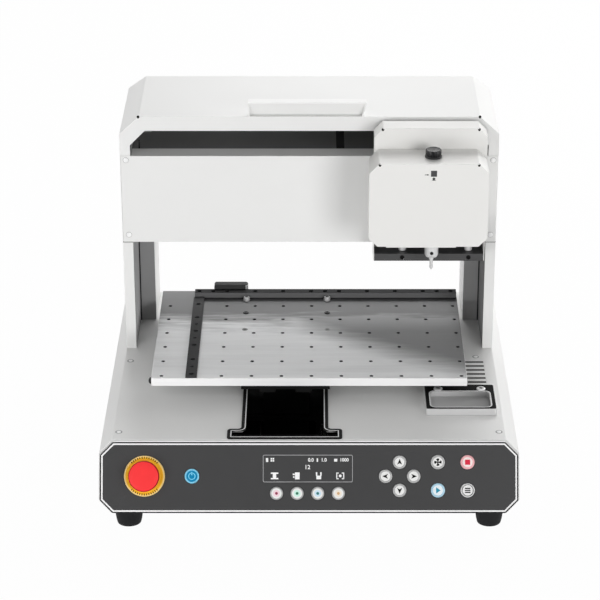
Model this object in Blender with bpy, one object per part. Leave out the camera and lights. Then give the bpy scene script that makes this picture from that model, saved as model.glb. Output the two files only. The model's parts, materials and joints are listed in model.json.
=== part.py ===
"""A desktop engraving machine.

A steel base with a tilted control panel carries a gantry. The head travels along the gantry's beam,
and the table slides and rises below it. X runs along the beam, Y to the rear and Z up, in metres.
The origin is under the middle of the machine, at the level of the feet's soles.
"""

import math

import bmesh
import bpy
from mathutils import Matrix, Vector

# Shared clearances and walls
GAP = 0.0003  # between faces that seat on each other
RUN = 0.0006  # around pieces that move past each other
SHEET = 0.0015  # wall of the folded sheet
OVERRUN = 0.012  # how far a cutter runs past what it cuts
FOLD_RADIUS = 0.0028  # outside of a bend in the sheet

# Base casing. Lengths along Y count from the front panel's lower edge, the foot edge
BASE_WIDTH = 0.545
BASE_LENGTH = 0.513
BASE_TOP = 0.1226
BASE_BOTTOM = 0.0381
BASE_CORNER_X = 0.0165
BASE_CORNER_Z = 0.0147
BASE_RETURN = 0.012  # inward flange round the open bottom

# Feet
FOOT_RADIUS = 0.0175
FOOT_SOLE_RADIUS = 0.0155
FOOT_CHAMFER = 0.0015
FOOT_HOLE_RADIUS = 0.005
FOOT_HOLE_DEPTH = 0.008
FOOT_SIDE = 0.0355  # from the casing's side to a foot's axis
FOOT_FRONT = 0.049
FOOT_REAR = BASE_LENGTH - FOOT_FRONT
FOOT_HALF_SPACING = BASE_WIDTH / 2 - FOOT_SIDE

# Floor plate with the stepped pan that the lift mast hangs in
FLOOR_PLAY = 0.0015  # from the floor's edge to the casing's corner line
FLOOR_FRONT = 0.006
FLOOR_REAR = BASE_LENGTH - FLOOR_FRONT
PAN_HALF_WIDTH = 0.143
PAN_LEVEL = 0.024
DEEP_PAN_HALF_WIDTH = 0.0695
DEEP_PAN_LEVEL = 0.010
PAN_FRONT = 0.060
PAN_SHORT_OF_REAR = 0.041
PAN_REAR = BASE_LENGTH - PAN_SHORT_OF_REAR

# Front panel, measured in its own plane from its middle: U to the right, V up
PANEL_MARGIN = 0.0015  # of casing that shows on each side
PANEL_WIDTH = BASE_WIDTH - 2 * PANEL_MARGIN
PANEL_RISE = 0.0917
PANEL_CORNER = 0.0165
PANEL_CORNER_RADIUS = 0.003
PANEL_THICK = 0.003
PANEL_FOOT = 0.0395
PANEL_TILT = math.radians(27)
PANEL_FRAME_U = 0.014
PANEL_FRAME_V = 0.0115
ACROSS_SHARES = {  # places and pitches across the panel, as shares of its width
    "estop": -0.3934,
    "power": -0.2801,
    "window": -0.0030,
    "window_width": 0.2148,
    "function": -0.0779,
    "function_pitch": 0.0493,
    "arrow": 0.2164,
    "command": 0.3079,
    "command_pitch": 0.0710,
}
WINDOW_U = ACROSS_SHARES["window"] * PANEL_WIDTH
WINDOW_V = 0.0117
WINDOW_WIDTH = ACROSS_SHARES["window_width"] * PANEL_WIDTH
WINDOW_HEIGHT = 0.0356
WINDOW_FLANGE = 0.003
WINDOW_FLANGE_THICK = 0.002
WINDOW_SUNK = 0.0004

# Round push buttons
BUTTON_PLAY = 0.0004
BUTTON_PROUD = 0.0013
BUTTON_EDGE = 0.0004
BUTTON_FLANGE = 0.0008
BUTTON_FLANGE_THICK = 0.0035
POWER_U = ACROSS_SHARES["power"] * PANEL_WIDTH
POWER_V = 0.0018
POWER_RADIUS = 0.0094
FUNCTION_U = ACROSS_SHARES["function"] * PANEL_WIDTH
FUNCTION_V = -0.0204
FUNCTION_PITCH = ACROSS_SHARES["function_pitch"] * PANEL_WIDTH
FUNCTION_RADIUS = 0.0083
ARROW_U = ACROSS_SHARES["arrow"] * PANEL_WIDTH
ARROW_V = 0.0017
ARROW_OFFSET = 0.0182
ARROW_RADIUS = 0.0087
COMMAND_U = ACROSS_SHARES["command"] * PANEL_WIDTH
COMMAND_PITCH = ACROSS_SHARES["command_pitch"] * PANEL_WIDTH
COMMAND_RADIUS = 0.0092

# Emergency stop
ESTOP_U = ACROSS_SHARES["estop"] * PANEL_WIDTH
ESTOP_V = 0.0019
ESTOP_RING_RADIUS = 0.0265
ESTOP_RING_THICK = 0.0020
ESTOP_BARREL_RADIUS = 0.0110
ESTOP_BARREL_DEPTH = 0.020
ESTOP_STEM_RADIUS = 0.0080
ESTOP_STEM_DEPTH = 0.013
ESTOP_HEAD_RADIUS = 0.0200
ESTOP_HEAD_UNDER = 0.0090
ESTOP_HEAD_TOP = 0.0240
ESTOP_SKIRT = 0.0050  # straight side of the head
ESTOP_DOME_STEPS = 5

# Tee-shaped slot in the base top
SLOT_X = -0.0318
SLOT_BAR_WIDTH = 0.150
SLOT_BAR_FRONT = 0.046
SLOT_BAR_REAR = 0.074
SLOT_STEM_WIDTH = 0.114
SLOT_SHORT_OF_REAR = 0.081
SLOT_REAR = BASE_LENGTH - SLOT_SHORT_OF_REAR
SLOT_CORNER = 0.0045
TRIM_BAND = 0.0062
TRIM_THICK = 0.0012
TRIM_LAP = 0.0020  # how far the trim hides the casing's cut edge

# Vent slots in the base top
VENT_COUNT = 7
VENT_SIDE = 0.0315  # from the casing's side
VENT_LENGTH = 0.0254
VENT_RIGHT = BASE_WIDTH / 2 - VENT_SIDE
VENT_LEFT = VENT_RIGHT - VENT_LENGTH
VENT_FRONT = 0.2020
VENT_PITCH = 0.0125
VENT_WIDTH = 0.0052

# Tool tray on the base top
TRAY_SIDE = 0.0239  # from the casing's side
TRAY_WIDTH = 0.0942
TRAY_RIGHT = BASE_WIDTH / 2 - TRAY_SIDE
TRAY_LEFT = TRAY_RIGHT - TRAY_WIDTH
TRAY_FRONT = 0.1135
TRAY_REAR = 0.1860
TRAY_HEIGHT = 0.0098
TRAY_CORNER = 0.003
TRAY_POCKET_SIDE = 0.0077
TRAY_POCKET_FRONT = 0.0065
TRAY_POCKET_LENGTH = 0.0450
TRAY_POCKET_DEPTH = 0.0070
TRAY_POCKET_CORNER = 0.006

# Power inlet in the rear wall
INLET_SIDE = 0.0875  # from the casing's side to its middle
INLET_X = BASE_WIDTH / 2 - INLET_SIDE
INLET_Z = 0.078
INLET_WIDTH = 0.048
INLET_HEIGHT = 0.027
INLET_FLANGE = 0.005
INLET_FLANGE_THICK = 0.002
INLET_DEPTH = 0.022
INLET_SOCKET_WALL = 0.0025
INLET_SOCKET_DEPTH = 0.016
INLET_SOCKET_CORNER = 0.005

# Gantry: its sides stand on the casing's bend lines
GANTRY_HALF_WIDTH = BASE_WIDTH / 2 - BASE_CORNER_X
GANTRY_SHORT_OF_REAR = 0.0084
GANTRY_DEPTH = 0.1860
GANTRY_REAR = BASE_LENGTH - GANTRY_SHORT_OF_REAR
GANTRY_FRONT = GANTRY_REAR - GANTRY_DEPTH
COLUMN_FACE = 0.014
COLUMN_INNER = GANTRY_HALF_WIDTH - COLUMN_FACE
UPRIGHT_WIDTH = 0.0215
UPRIGHT_DEPTH = 0.0886
UPRIGHT_FRONT = GANTRY_REAR - UPRIGHT_DEPTH
UPRIGHT_WALL = 0.002

# Beam with its rail, screw and motor
BEAM_DEPTH = 0.045
BEAM_BOTTOM = 0.305
BEAM_HEIGHT = 0.060
BEAM_GROOVE_WIDTH = 0.008
BEAM_GROOVE_DEPTH = 0.009
BEAM_GROOVE_EDGE = 0.015
BEARING_PLATE_THICK = 0.008
RAIL_WIDTH = 0.015
RAIL_HEIGHT = 0.010
RAIL_WAIST = 0.002
RAIL_SHORT_OF_COLUMN = 0.017
X_RAIL_LENGTH = 2 * (COLUMN_INNER - RAIL_SHORT_OF_COLUMN)
SCREW_RADIUS = 0.006
MOTOR_SIDE = 0.042
MOTOR_LENGTH = 0.037
MOTOR_CORNER = 0.005
MOTOR_BELL = 0.0095  # length of an end bell
MOTOR_WAIST = 0.0008  # how far the stack between the bells steps in
MOTOR_PILOT_RADIUS = 0.011
MOTOR_PILOT_LENGTH = 0.0006

# Beam cover
COVER_MARGIN = 0.001  # of column that shows beside it
COVER_HALF_WIDTH = GANTRY_HALF_WIDTH - COVER_MARGIN
COVER_BOTTOM = 0.2855
COVER_TOP = 0.4115
COLUMN_TOP = COVER_TOP - GAP
COVER_TOP_FLANGE = 0.029
COVER_BOTTOM_FLANGE = 0.022

# Hood
HOOD_SHOULDER = 0.4433
HOOD_TOP = 0.4679
HOOD_CORNER_X = 0.0264
HOOD_CORNER_REAR = 0.0202  # slope along the rear edge of the hood's top
HOOD_OPENING_SHOULDER = 0.4270
HOOD_OPENING_TOP = 0.4477
HOOD_OPENING_CORNER_X = 0.0204
APRON_BOTTOM = 0.288
APRON_LAP = 0.006

# Grip on the hood's front edge
GRIP_X = -0.0026
GRIP_WIDTH = 0.159
GRIP_DEPTH = 0.015
GRIP_HEIGHT = 0.0203
GRIP_OVERHANG = 0.0012
GRIP_RIM = 0.0012
GRIP_TAPER_X = 0.0058
GRIP_TAPER_Z = 0.0012
GRIP_SCOOP = 0.009

# Head, at rest at the right end of its travel
HEAD_SHORT_OF_COLUMN = 0.0038
HEAD_WIDTH = 0.1514
HEAD_RIGHT = COLUMN_INNER - HEAD_SHORT_OF_COLUMN
HEAD_LEFT = HEAD_RIGHT - HEAD_WIDTH
HEAD_BEFORE_GANTRY = 0.0042
HEAD_DEPTH = 0.0301
HEAD_REAR = GANTRY_FRONT - HEAD_BEFORE_GANTRY
HEAD_FRONT = HEAD_REAR - HEAD_DEPTH
HEAD_BOTTOM = 0.272
HEAD_TOP = 0.464
HEAD_CORNER = 0.012
HEAD_OPENING_TOP = 0.400
HEAD_WALL = 0.0012
HEAD_PLATE = 0.006
BRACKET_LIP = 0.002
BRACKET_LEVEL = 0.2825
BRACKET_THICK = 0.003
BRACKET_HOLE_RADIUS = 0.0022
TOP_FLANGE_BELOW_TOP = 0.052
TOP_FLANGE_LEVEL = HEAD_TOP - TOP_FLANGE_BELOW_TOP
TOP_FLANGE_THICK = 0.004
TOP_FLANGE_SET_BACK = 0.0057
ROD_LEFT_IN = 0.0402
ROD_RIGHT_IN = 0.0213
ROD_BEFORE_REAR = 0.0159
ROD_LEFT_X = HEAD_LEFT + ROD_LEFT_IN
ROD_RIGHT_X = HEAD_RIGHT - ROD_RIGHT_IN
ROD_Y = HEAD_REAR - ROD_BEFORE_REAR
ROD_RADIUS = 0.00535
Z_SCREW_RADIUS = 0.004
Z_MOTOR_RADIUS = 0.0102
Z_MOTOR_HEIGHT = 0.042

# Travelling carriage of the head
CARRIAGE_X = (HEAD_LEFT + HEAD_RIGHT) / 2
CARRIAGE_WIDTH = 0.100
CARRIAGE_SET_BACK = 0.0334
CARRIAGE_FRONT = GANTRY_FRONT + CARRIAGE_SET_BACK
CARRIAGE_PLATE = 0.008
CARRIAGE_BLOCK_LIP = 0.015
NUT_HALF = 0.013
ARM_BOTTOM = 0.424
ARM_THICK = 0.016

# Block and cover that drop with the tool
BLOCK_END_LEFT = 0.017  # beyond the left rod's axis
BLOCK_END_RIGHT = 0.0151
BLOCK_BEFORE_REAR = 0.0079
BLOCK_DEPTH = 0.018
BLOCK_REAR = HEAD_REAR - BLOCK_BEFORE_REAR
BLOCK_FRONT = BLOCK_REAR - BLOCK_DEPTH
BLOCK_BOTTOM = 0.338
BLOCK_TOP = 0.392
FACE_BEYOND_LEFT = 0.0077
FACE_SHORT_OF_RIGHT = 0.0007
FACE_DEPTH = 0.0558
FACE_LEFT = HEAD_LEFT - FACE_BEYOND_LEFT
FACE_RIGHT = HEAD_RIGHT - FACE_SHORT_OF_RIGHT
FACE_REAR = HEAD_FRONT - RUN
FACE_FRONT = FACE_REAR - FACE_DEPTH
FACE_BOTTOM = 0.3169
FACE_TOP = 0.4348
FACE_TOP_CORNER = 0.0136
FACE_BOTTOM_CORNER = 0.0118
FACE_WALL = 0.002
NECK_WIDTH = 0.048
NECK_SET_BACK = 0.0081
NECK_FRONT = FACE_FRONT + NECK_SET_BACK

# Spindle, tool and pressure knob
SPINDLE_IN = 0.0777  # from the head's left side
SPINDLE_SET_BACK = 0.0269
SPINDLE_X = HEAD_LEFT + SPINDLE_IN
SPINDLE_Y = FACE_FRONT + SPINDLE_SET_BACK
QUILL_RADIUS = 0.0090
QUILL_BOTTOM = FACE_BOTTOM + GAP
QUILL_TOP = 0.4050
SHAFT_RADIUS = 0.0050
SHAFT_TOP = 0.4020
NOSE_RADIUS = 0.00925
NOSE_LENGTH = 0.0260
NOSE_BOTTOM = FACE_BOTTOM - NOSE_LENGTH
NOSE_ROUNDING = 0.0050
NOSE_ROUNDING_STEPS = 2
NOSE_HOLE_RADIUS = 0.0021
NOSE_HOLE_HEIGHT = 0.0088
STYLUS_RADIUS = 0.0022
STYLUS_NECK_RADIUS = 0.0029
STYLUS_NECK_LENGTH = 0.0035
STYLUS_REACH = 0.0185
STYLUS_TIP = NOSE_BOTTOM - STYLUS_REACH
STYLUS_CONE = 0.0030
STYLUS_TIP_RADIUS = 0.0003
STYLUS_HIDDEN = 0.0160
KNOB_RADIUS = 0.0105
KNOB_FLANGE_RADIUS = 0.0115
KNOB_FLANGE_HEIGHT = 0.0022
KNOB_HEIGHT = 0.0108
KNOB_EDGE = 0.0008
KNOB_SHAFT_RADIUS = 0.0030
KNOB_SHAFT_LENGTH = 0.0218
KNOB_FLUTES = 18
KNOB_FLUTE_DEPTH = 0.0005

# Table rails, screw and carriage
Y_RAIL_OFFSET = 0.090
Y_RAIL_FRONT_MARGIN = 0.037
Y_RAIL_REAR_MARGIN = 0.044
Y_RAIL_FRONT = PAN_FRONT + Y_RAIL_FRONT_MARGIN
Y_RAIL_REAR = PAN_REAR - Y_RAIL_REAR_MARGIN
Y_RAIL_HEIGHT = 0.015
Y_CARRIAGE_LENGTH = 0.090
Y_CARRIAGE_PLATE = 0.008
Y_BLOCK_HALF = 0.017
Y_BLOCK_LIP = 0.010
Y_SCREW_X = 0.020
Y_SCREW_MARGIN = 0.006
Y_NUT_HALF = 0.011

# Table
TABLE_BEHIND_GANTRY_FRONT = 0.1233
TABLE_LENGTH = 0.2847
TABLE_SHORT_OF_COLUMN = 0.031
TABLE_HALF_WIDTH = COLUMN_INNER - TABLE_SHORT_OF_COLUMN
TABLE_REAR = GANTRY_FRONT + TABLE_BEHIND_GANTRY_FRONT
TABLE_FRONT = TABLE_REAR - TABLE_LENGTH
TABLE_BOTTOM = 0.1450
TABLE_THICK = 0.0114
HOLE_COLUMNS = 11
HOLE_ROWS = 6
HOLE_LEFT = 0.0134  # from the table's left side to the first column
HOLE_RIGHT = 0.0073
HOLE_FRONT = 0.0075  # from the table's front to the first row
HOLE_REAR = 0.0522
HOLE_PITCH_X = (2 * TABLE_HALF_WIDTH - HOLE_LEFT - HOLE_RIGHT) / (HOLE_COLUMNS - 1)
HOLE_PITCH_Y = (TABLE_LENGTH - HOLE_FRONT - HOLE_REAR) / (HOLE_ROWS - 1)
HOLE_RADIUS = 0.0023
SIDE_FENCE_IN = 0.0533  # from the table's left side to the fence's middle
SIDE_FENCE_X = SIDE_FENCE_IN - TABLE_HALF_WIDTH
SIDE_FENCE_WIDTH = 0.0152
SIDE_FENCE_HEIGHT = 0.003
SIDE_FENCE_MARGIN = 0.0002
SIDE_FENCE_HOLE_COUNT = 12
SIDE_FENCE_PLAIN_HOLES = (3, 9)  # places in the row that have no hole
REAR_FENCE_LEFT_IN = 0.047
REAR_FENCE_RIGHT_IN = 0.001
REAR_FENCE_LEFT = REAR_FENCE_LEFT_IN - TABLE_HALF_WIDTH
REAR_FENCE_RIGHT = TABLE_HALF_WIDTH - REAR_FENCE_RIGHT_IN
REAR_FENCE_BEFORE_REAR = 0.0272
REAR_FENCE_FRONT = TABLE_REAR - REAR_FENCE_BEFORE_REAR
REAR_FENCE_DEPTH = 0.0143
REAR_FENCE_HEIGHT = 0.0086
REAR_FENCE_HOLE_COUNT = 19
REAR_FENCE_PLAIN_HOLES = (3, 5, 7, 11, 13, 15)
REAR_FENCE_HOLE_END = 0.0077  # from the fence's right end to its last hole
FENCE_HOLE_RADIUS = 0.0026
DATUM_IN = 0.0274  # from the rear fence's left end
DATUM_WIDTH = 0.0484
DATUM_DEPTH = 0.0115
DATUM_HEIGHT = 0.0150
DATUM_CORNER = 0.003

# Lift mast: a well on the carriage and a column that rises out of it to the table's middle
MAST_Y = (TABLE_FRONT + TABLE_REAR) / 2
COLUMN_HALF_X = 0.028
COLUMN_HALF_Y = 0.032
COLUMN_FOOT = 0.018
WELL_WALL = 0.003
WELL_BOTTOM = 0.014
WELL_TOP = 0.131
CARRIER_HALF_WIDTH = 0.0595
CARRIER_FRONT_IN = 0.0078
CARRIER_REAR_IN = 0.0119
CARRIER_THICK = 0.0087
CARRIER_BLOCK_WIDTH = 0.0215
CARRIER_BLOCK_SPACING = 0.0485
CARRIER_BLOCK_DEPTH = 0.030
CARRIER_BLOCK_DROP = 0.0045

# Facets round a turned piece
COARSE = 16
ROUND = 24
HOLE_SIDES = 8

# Surface finishes: colour, roughness, metallic
WHITE_POWDER = ((0.86, 0.86, 0.85), 0.45, 0.0)
GREY_POWDER = ((0.32, 0.32, 0.32), 0.5, 0.0)
DARK_SHEET = ((0.06, 0.06, 0.062), 0.5, 0.0)
BLACK_PAINT = ((0.01, 0.01, 0.011), 0.5, 0.0)
PANEL_INK = ((0.055, 0.056, 0.058), 0.35, 0.0)
DISPLAY_GLASS = ((0.02, 0.021, 0.024), 0.12, 0.0)
RUBBER = ((0.012, 0.012, 0.012), 0.8, 0.0)
BRUSHED = ((0.60, 0.61, 0.62), 0.35, 1.0)
ANODISED = ((0.035, 0.036, 0.038), 0.4, 0.4)
STEEL = ((0.55, 0.56, 0.57), 0.25, 1.0)
MOTOR_BLACK = ((0.02, 0.02, 0.022), 0.45, 0.2)
STOP_RED = ((0.72, 0.03, 0.02), 0.35, 0.0)
STOP_YELLOW = ((0.90, 0.55, 0.02), 0.4, 0.0)
BUTTON_WHITE = ((0.75, 0.75, 0.74), 0.35, 0.0)
BUTTON_BLUE = ((0.02, 0.28, 0.62), 0.35, 0.0)
KNOB_BLACK = ((0.015, 0.015, 0.016), 0.4, 0.0)

ALONG_X = Matrix(((0, 0, 1, 0), (1, 0, 0, 0), (0, 1, 0, 0), (0, 0, 0, 1)))
ALONG_Y = Matrix(((1, 0, 0, 0), (0, 0, 1, 0), (0, 1, 0, 0), (0, 0, 0, 1)))


def estop_dome():
    """(radius, height) points of the emergency stop's head, from its rim over the dome to the axis."""
    shoulder = ESTOP_HEAD_UNDER + ESTOP_SKIRT
    rise = ESTOP_HEAD_TOP - shoulder
    points = [(ESTOP_HEAD_RADIUS, ESTOP_HEAD_UNDER)]
    for step in range(ESTOP_DOME_STEPS + 1):
        angle = math.pi / 2 * step / ESTOP_DOME_STEPS
        points.append((ESTOP_HEAD_RADIUS * math.cos(angle), shoulder + rise * math.sin(angle)))
    return points[:-1] + [(0, ESTOP_HEAD_TOP)]


def estop_reach():
    """How far the emergency stop's head stands in front of the panel's foot edge."""
    furthest = max(
        height * math.cos(PANEL_TILT) + radius * math.sin(PANEL_TILT)
        for radius, height in estop_dome()
    )
    return max(furthest - (PANEL_RISE / 2 + ESTOP_V) * math.sin(PANEL_TILT), 0)


# World Y of the foot edge, so that the whole machine is centred
REAR_REACH = BASE_LENGTH + GAP + INLET_FLANGE_THICK
FOOT_EDGE = (estop_reach() - REAR_REACH) / 2
PANEL_CENTRE = Vector(
    (
        0,
        FOOT_EDGE + PANEL_RISE / 2 * math.sin(PANEL_TILT),
        PANEL_FOOT + PANEL_RISE / 2 * math.cos(PANEL_TILT),
    )
)
PANEL_TURN = math.pi / 2 - PANEL_TILT


def rectangle(left, right, low, high):
    return [(left, low), (right, low), (right, high), (left, high)]


def eight_cornered(left, right, low, high, corner_x, corner_y):
    """A rectangle with straight cut corners."""
    return [
        (left + corner_x, low),
        (right - corner_x, low),
        (right, low + corner_y),
        (right, high - corner_y),
        (right - corner_x, high),
        (left + corner_x, high),
        (left, high - corner_y),
        (left, low + corner_y),
    ]


def circle(x, y, radius, sides):
    return [
        (
            x + radius * math.cos(2 * math.pi * side / sides),
            y + radius * math.sin(2 * math.pi * side / sides),
        )
        for side in range(sides)
    ]


def corner_of(points, index):
    """A point of a closed outline with the unit directions to the points before and after it."""
    here = Vector(points[index])
    before = Vector(points[index - 1]) - here
    after = Vector(points[(index + 1) % len(points)]) - here
    return here, before.normalized(), after.normalized()


def inset(points, distance):
    """A closed outline moved inwards; its points run anticlockwise."""
    moved = []
    for index in range(len(points)):
        here, before, after = corner_of(points, index)
        normals = Vector((before.y, -before.x)) + Vector((-after.y, after.x))
        moved.append(tuple(here + normals * (2 * distance / normals.length_squared)))
    return moved


def filleted(points, radius, steps=3, sharp=()):
    """A closed outline with its corners rounded, apart from those whose places are in sharp."""
    rounded = []
    for index in range(len(points)):
        here, before, after = corner_of(points, index)
        if index in sharp:
            rounded.append(tuple(here))
            continue
        half = before.angle(after) / 2
        centre = here + (before + after).normalized() * (radius / math.sin(half))
        start = here + before * (radius / math.tan(half)) - centre
        end = here + after * (radius / math.tan(half)) - centre
        for step in range(steps + 1):
            spoke = start.lerp(end, step / steps).normalized() * radius
            rounded.append(tuple(centre + spoke))
    return rounded


def mirrored(points):
    """An outline reflected in X, still anticlockwise."""
    return [(-x, y) for x, y in reversed(points)]


def plate(outline, thickness, holes=(), axes=None):
    """A flat outline with holes, raised from zero by its thickness, as a bmesh."""
    mesh = bmesh.new()
    for loop in (outline, *holes):
        verts = [mesh.verts.new((x, y, 0)) for x, y in loop]
        for first, second in zip(verts, verts[1:] + verts[:1]):
            mesh.edges.new((first, second))
    bmesh.ops.triangle_fill(mesh, use_beauty=True, edges=mesh.edges[:])
    raised = bmesh.ops.extrude_face_region(mesh, geom=mesh.faces[:], use_keep_orig=True)
    verts = [item for item in raised["geom"] if isinstance(item, bmesh.types.BMVert)]
    bmesh.ops.translate(mesh, vec=(0, 0, thickness), verts=verts)
    if axes:
        mesh.transform(axes)
    return mesh


def loft(levels, axes=None):
    """A solid through (outline, height) levels, whose outlines all have as many points."""
    mesh = bmesh.new()
    rings = [[mesh.verts.new((x, y, height)) for x, y in outline] for outline, height in levels]
    mesh.faces.new(rings[0])
    mesh.faces.new(rings[-1])
    for low, high in zip(rings, rings[1:]):
        for index in range(len(low)):
            after = (index + 1) % len(low)
            mesh.faces.new((low[index], low[after], high[after], high[index]))
    if axes:
        mesh.transform(axes)
    return mesh


def turned(profile, sides=ROUND, closed=False):
    """A solid turned about Z from (radius, height) points; closed joins the last point to the first."""
    mesh = bmesh.new()
    verts = [mesh.verts.new((radius, 0, height)) for radius, height in profile]
    pairs = list(zip(verts, verts[1:]))
    if closed:
        pairs.append((verts[-1], verts[0]))
    edges = [mesh.edges.new(pair) for pair in pairs]
    bmesh.ops.spin(
        mesh,
        geom=verts + edges,
        axis=(0, 0, 1),
        cent=(0, 0, 0),
        steps=sides,
        angle=2 * math.pi,
        use_duplicate=False,
    )
    bmesh.ops.remove_doubles(mesh, verts=mesh.verts[:], dist=GAP / 10)
    return mesh


def slanted(profile, behind, rear):
    """An outline in XZ carried from the panel's plane, less a depth behind it, to a rear face."""
    mesh = bmesh.new()
    front = [mesh.verts.new((x, panel_y(z, behind), z)) for x, z in profile]
    back = [mesh.verts.new((x, rear, z)) for x, z in profile]
    mesh.faces.new(front)
    mesh.faces.new(back)
    count = len(profile)
    for index in range(count):
        after = (index + 1) % count
        mesh.faces.new((front[index], front[after], back[after], back[index]))
    return mesh


def panel_y(z, behind):
    """World Y of the panel's plane at a height, moved back at right angles to the plane."""
    return FOOT_EDGE + (z - PANEL_FOOT) * math.tan(PANEL_TILT) + behind / math.cos(PANEL_TILT)


def finished(name, finish):
    colour, roughness, metallic = finish
    material = bpy.data.materials.new(name)
    material.use_nodes = True
    shader = material.node_tree.nodes["Principled BSDF"]
    shader.inputs["Base Color"].default_value = (*colour, 1)
    shader.inputs["Roughness"].default_value = roughness
    shader.inputs["Metallic"].default_value = metallic
    material.diffuse_color = (*colour, 1)
    return material


def world_place(unturned):
    """World place of an unturned object, through its parents."""
    above = world_place(unturned.parent) if unturned.parent else Vector()
    return above + unturned.location


def placed(name, mesh, at, parent=None, turn=0.0, smooth=False):
    """An object from a bmesh, at a world place, turned about X."""
    bmesh.ops.recalc_face_normals(mesh, faces=mesh.faces[:])
    if mesh.calc_volume(signed=True) < 0:
        bmesh.ops.reverse_faces(mesh, faces=mesh.faces[:])
    data = bpy.data.meshes.new(name)
    mesh.to_mesh(data)
    mesh.free()
    if smooth:
        data.shade_smooth()
        data.set_sharp_from_angle(angle=math.radians(40))
    made = bpy.data.objects.new(name, data)
    bpy.context.scene.collection.objects.link(made)
    made.location = at
    made.rotation_euler = (turn, 0, 0)
    if parent:
        made.parent = parent
        made.location = Vector(at) - world_place(parent)
    return made


def piece(name, mesh, finish, at=(0, 0, 0), parent=None, turn=0.0, smooth=False):
    """One named sub-part with its own material."""
    made = placed(name, mesh, at, parent, turn, smooth)
    made.data.materials.append(finished(name, finish))
    return made


def helper(name, mesh, at=(0, 0, 0), turn=0.0):
    """A cutter or a shape to join, which isn't a sub-part."""
    made = placed(name, mesh, at, None, turn)
    made.hide_render = True
    made.display_type = "WIRE"
    return made


def combine(target, tool, operation="DIFFERENCE"):
    modifier = target.modifiers.new(tool.name, "BOOLEAN")
    modifier.operation = operation
    modifier.solver = "EXACT"
    modifier.object = tool


def anchor(name, at, parent=None):
    """An empty on a joint's axis, that the pieces of the moving body hang from."""
    made = bpy.data.objects.new(name, None)
    bpy.context.scene.collection.objects.link(made)
    made.location = Vector(at) - (world_place(parent) if parent else Vector())
    made.parent = parent
    return made


def tee(shrink):
    """The slot's outline, moved inwards from the trim's outer edge, in X and world Y."""
    bar, stem = SLOT_BAR_WIDTH / 2, SLOT_STEM_WIDTH / 2
    front, notch, rear = (FOOT_EDGE + y for y in (SLOT_BAR_FRONT, SLOT_BAR_REAR, SLOT_REAR))
    points = [
        (SLOT_X - bar, front),
        (SLOT_X + bar, front),
        (SLOT_X + bar, notch),
        (SLOT_X + stem, notch),
        (SLOT_X + stem, rear),
        (SLOT_X - stem, rear),
        (SLOT_X - stem, notch),
        (SLOT_X - bar, notch),
    ]
    return inset(points, shrink)


def make_base():
    """The casing: a shell with cut corners and a tilted front, open where the panel and floor go."""
    half = BASE_WIDTH / 2
    section = eight_cornered(-half, half, BASE_BOTTOM, BASE_TOP, BASE_CORNER_X, BASE_CORNER_Z)
    behind = PANEL_THICK + GAP
    rear = FOOT_EDGE + BASE_LENGTH
    folded = filleted(section, FOLD_RADIUS, 2)
    casing = piece("base_casing", slanted(folded, behind, rear), WHITE_POWDER)
    inside = filleted(inset(section, SHEET), FOLD_RADIUS - SHEET, 2)
    combine(casing, helper("casing_hollow", slanted(inside, behind + SHEET, rear - SHEET)))
    open_half = half - BASE_CORNER_X - BASE_RETURN
    open_front = panel_y(BASE_BOTTOM, behind) + BASE_RETURN
    underside = plate(rectangle(-open_half, open_half, open_front, rear - BASE_RETURN), 2 * OVERRUN)
    combine(casing, helper("casing_underside", underside, (0, 0, BASE_BOTTOM - OVERRUN)))
    window = eight_cornered(
        PANEL_FRAME_U - PANEL_WIDTH / 2,
        PANEL_WIDTH / 2 - PANEL_FRAME_U,
        PANEL_FRAME_V - PANEL_RISE / 2,
        PANEL_RISE / 2 - PANEL_FRAME_V,
        PANEL_CORNER,
        PANEL_CORNER,
    )
    combine(casing, panel_helper("casing_front", plate(window, OVERRUN), -OVERRUN + PANEL_THICK))
    top = BASE_TOP - OVERRUN
    slot = filleted(tee(TRIM_BAND - TRIM_LAP), SLOT_CORNER)
    combine(casing, helper("casing_slot", plate(slot, 2 * OVERRUN), (0, 0, top)))
    for index in range(VENT_COUNT):
        low = FOOT_EDGE + VENT_FRONT + index * VENT_PITCH - VENT_WIDTH / 2
        vent = rectangle(VENT_LEFT, VENT_RIGHT, low, low + VENT_WIDTH)
        combine(casing, helper(f"casing_vent_{index}", plate(vent, 2 * OVERRUN), (0, 0, top)))
    inlet = plate(inset(inlet_outline(0), -GAP), 2 * OVERRUN, axes=ALONG_Y)
    combine(casing, helper("casing_inlet", inlet, (0, rear - OVERRUN, 0)))


def inlet_outline(grow):
    return rectangle(
        INLET_X - INLET_WIDTH / 2 - grow,
        INLET_X + INLET_WIDTH / 2 + grow,
        INLET_Z - INLET_HEIGHT / 2 - grow,
        INLET_Z + INLET_HEIGHT / 2 + grow,
    )


def make_inlet():
    """The mains inlet: a flange outside the rear wall, with a socket behind it."""
    outer = FOOT_EDGE + REAR_REACH
    flange = plate(inlet_outline(INLET_FLANGE), INLET_FLANGE_THICK, axes=ALONG_Y)
    inlet = piece("power_inlet", flange, BLACK_PAINT, (0, outer - INLET_FLANGE_THICK, 0))
    body = plate(inlet_outline(0), INLET_DEPTH, axes=ALONG_Y)
    combine(inlet, helper("inlet_body", body, (0, outer - INLET_DEPTH - GAP, 0)), "UNION")
    socket = filleted(inset(inlet_outline(0), INLET_SOCKET_WALL), INLET_SOCKET_CORNER)
    cutter = plate(socket, INLET_SOCKET_DEPTH + OVERRUN, axes=ALONG_Y)
    combine(inlet, helper("inlet_socket", cutter, (0, outer - INLET_SOCKET_DEPTH, 0)))


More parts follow.
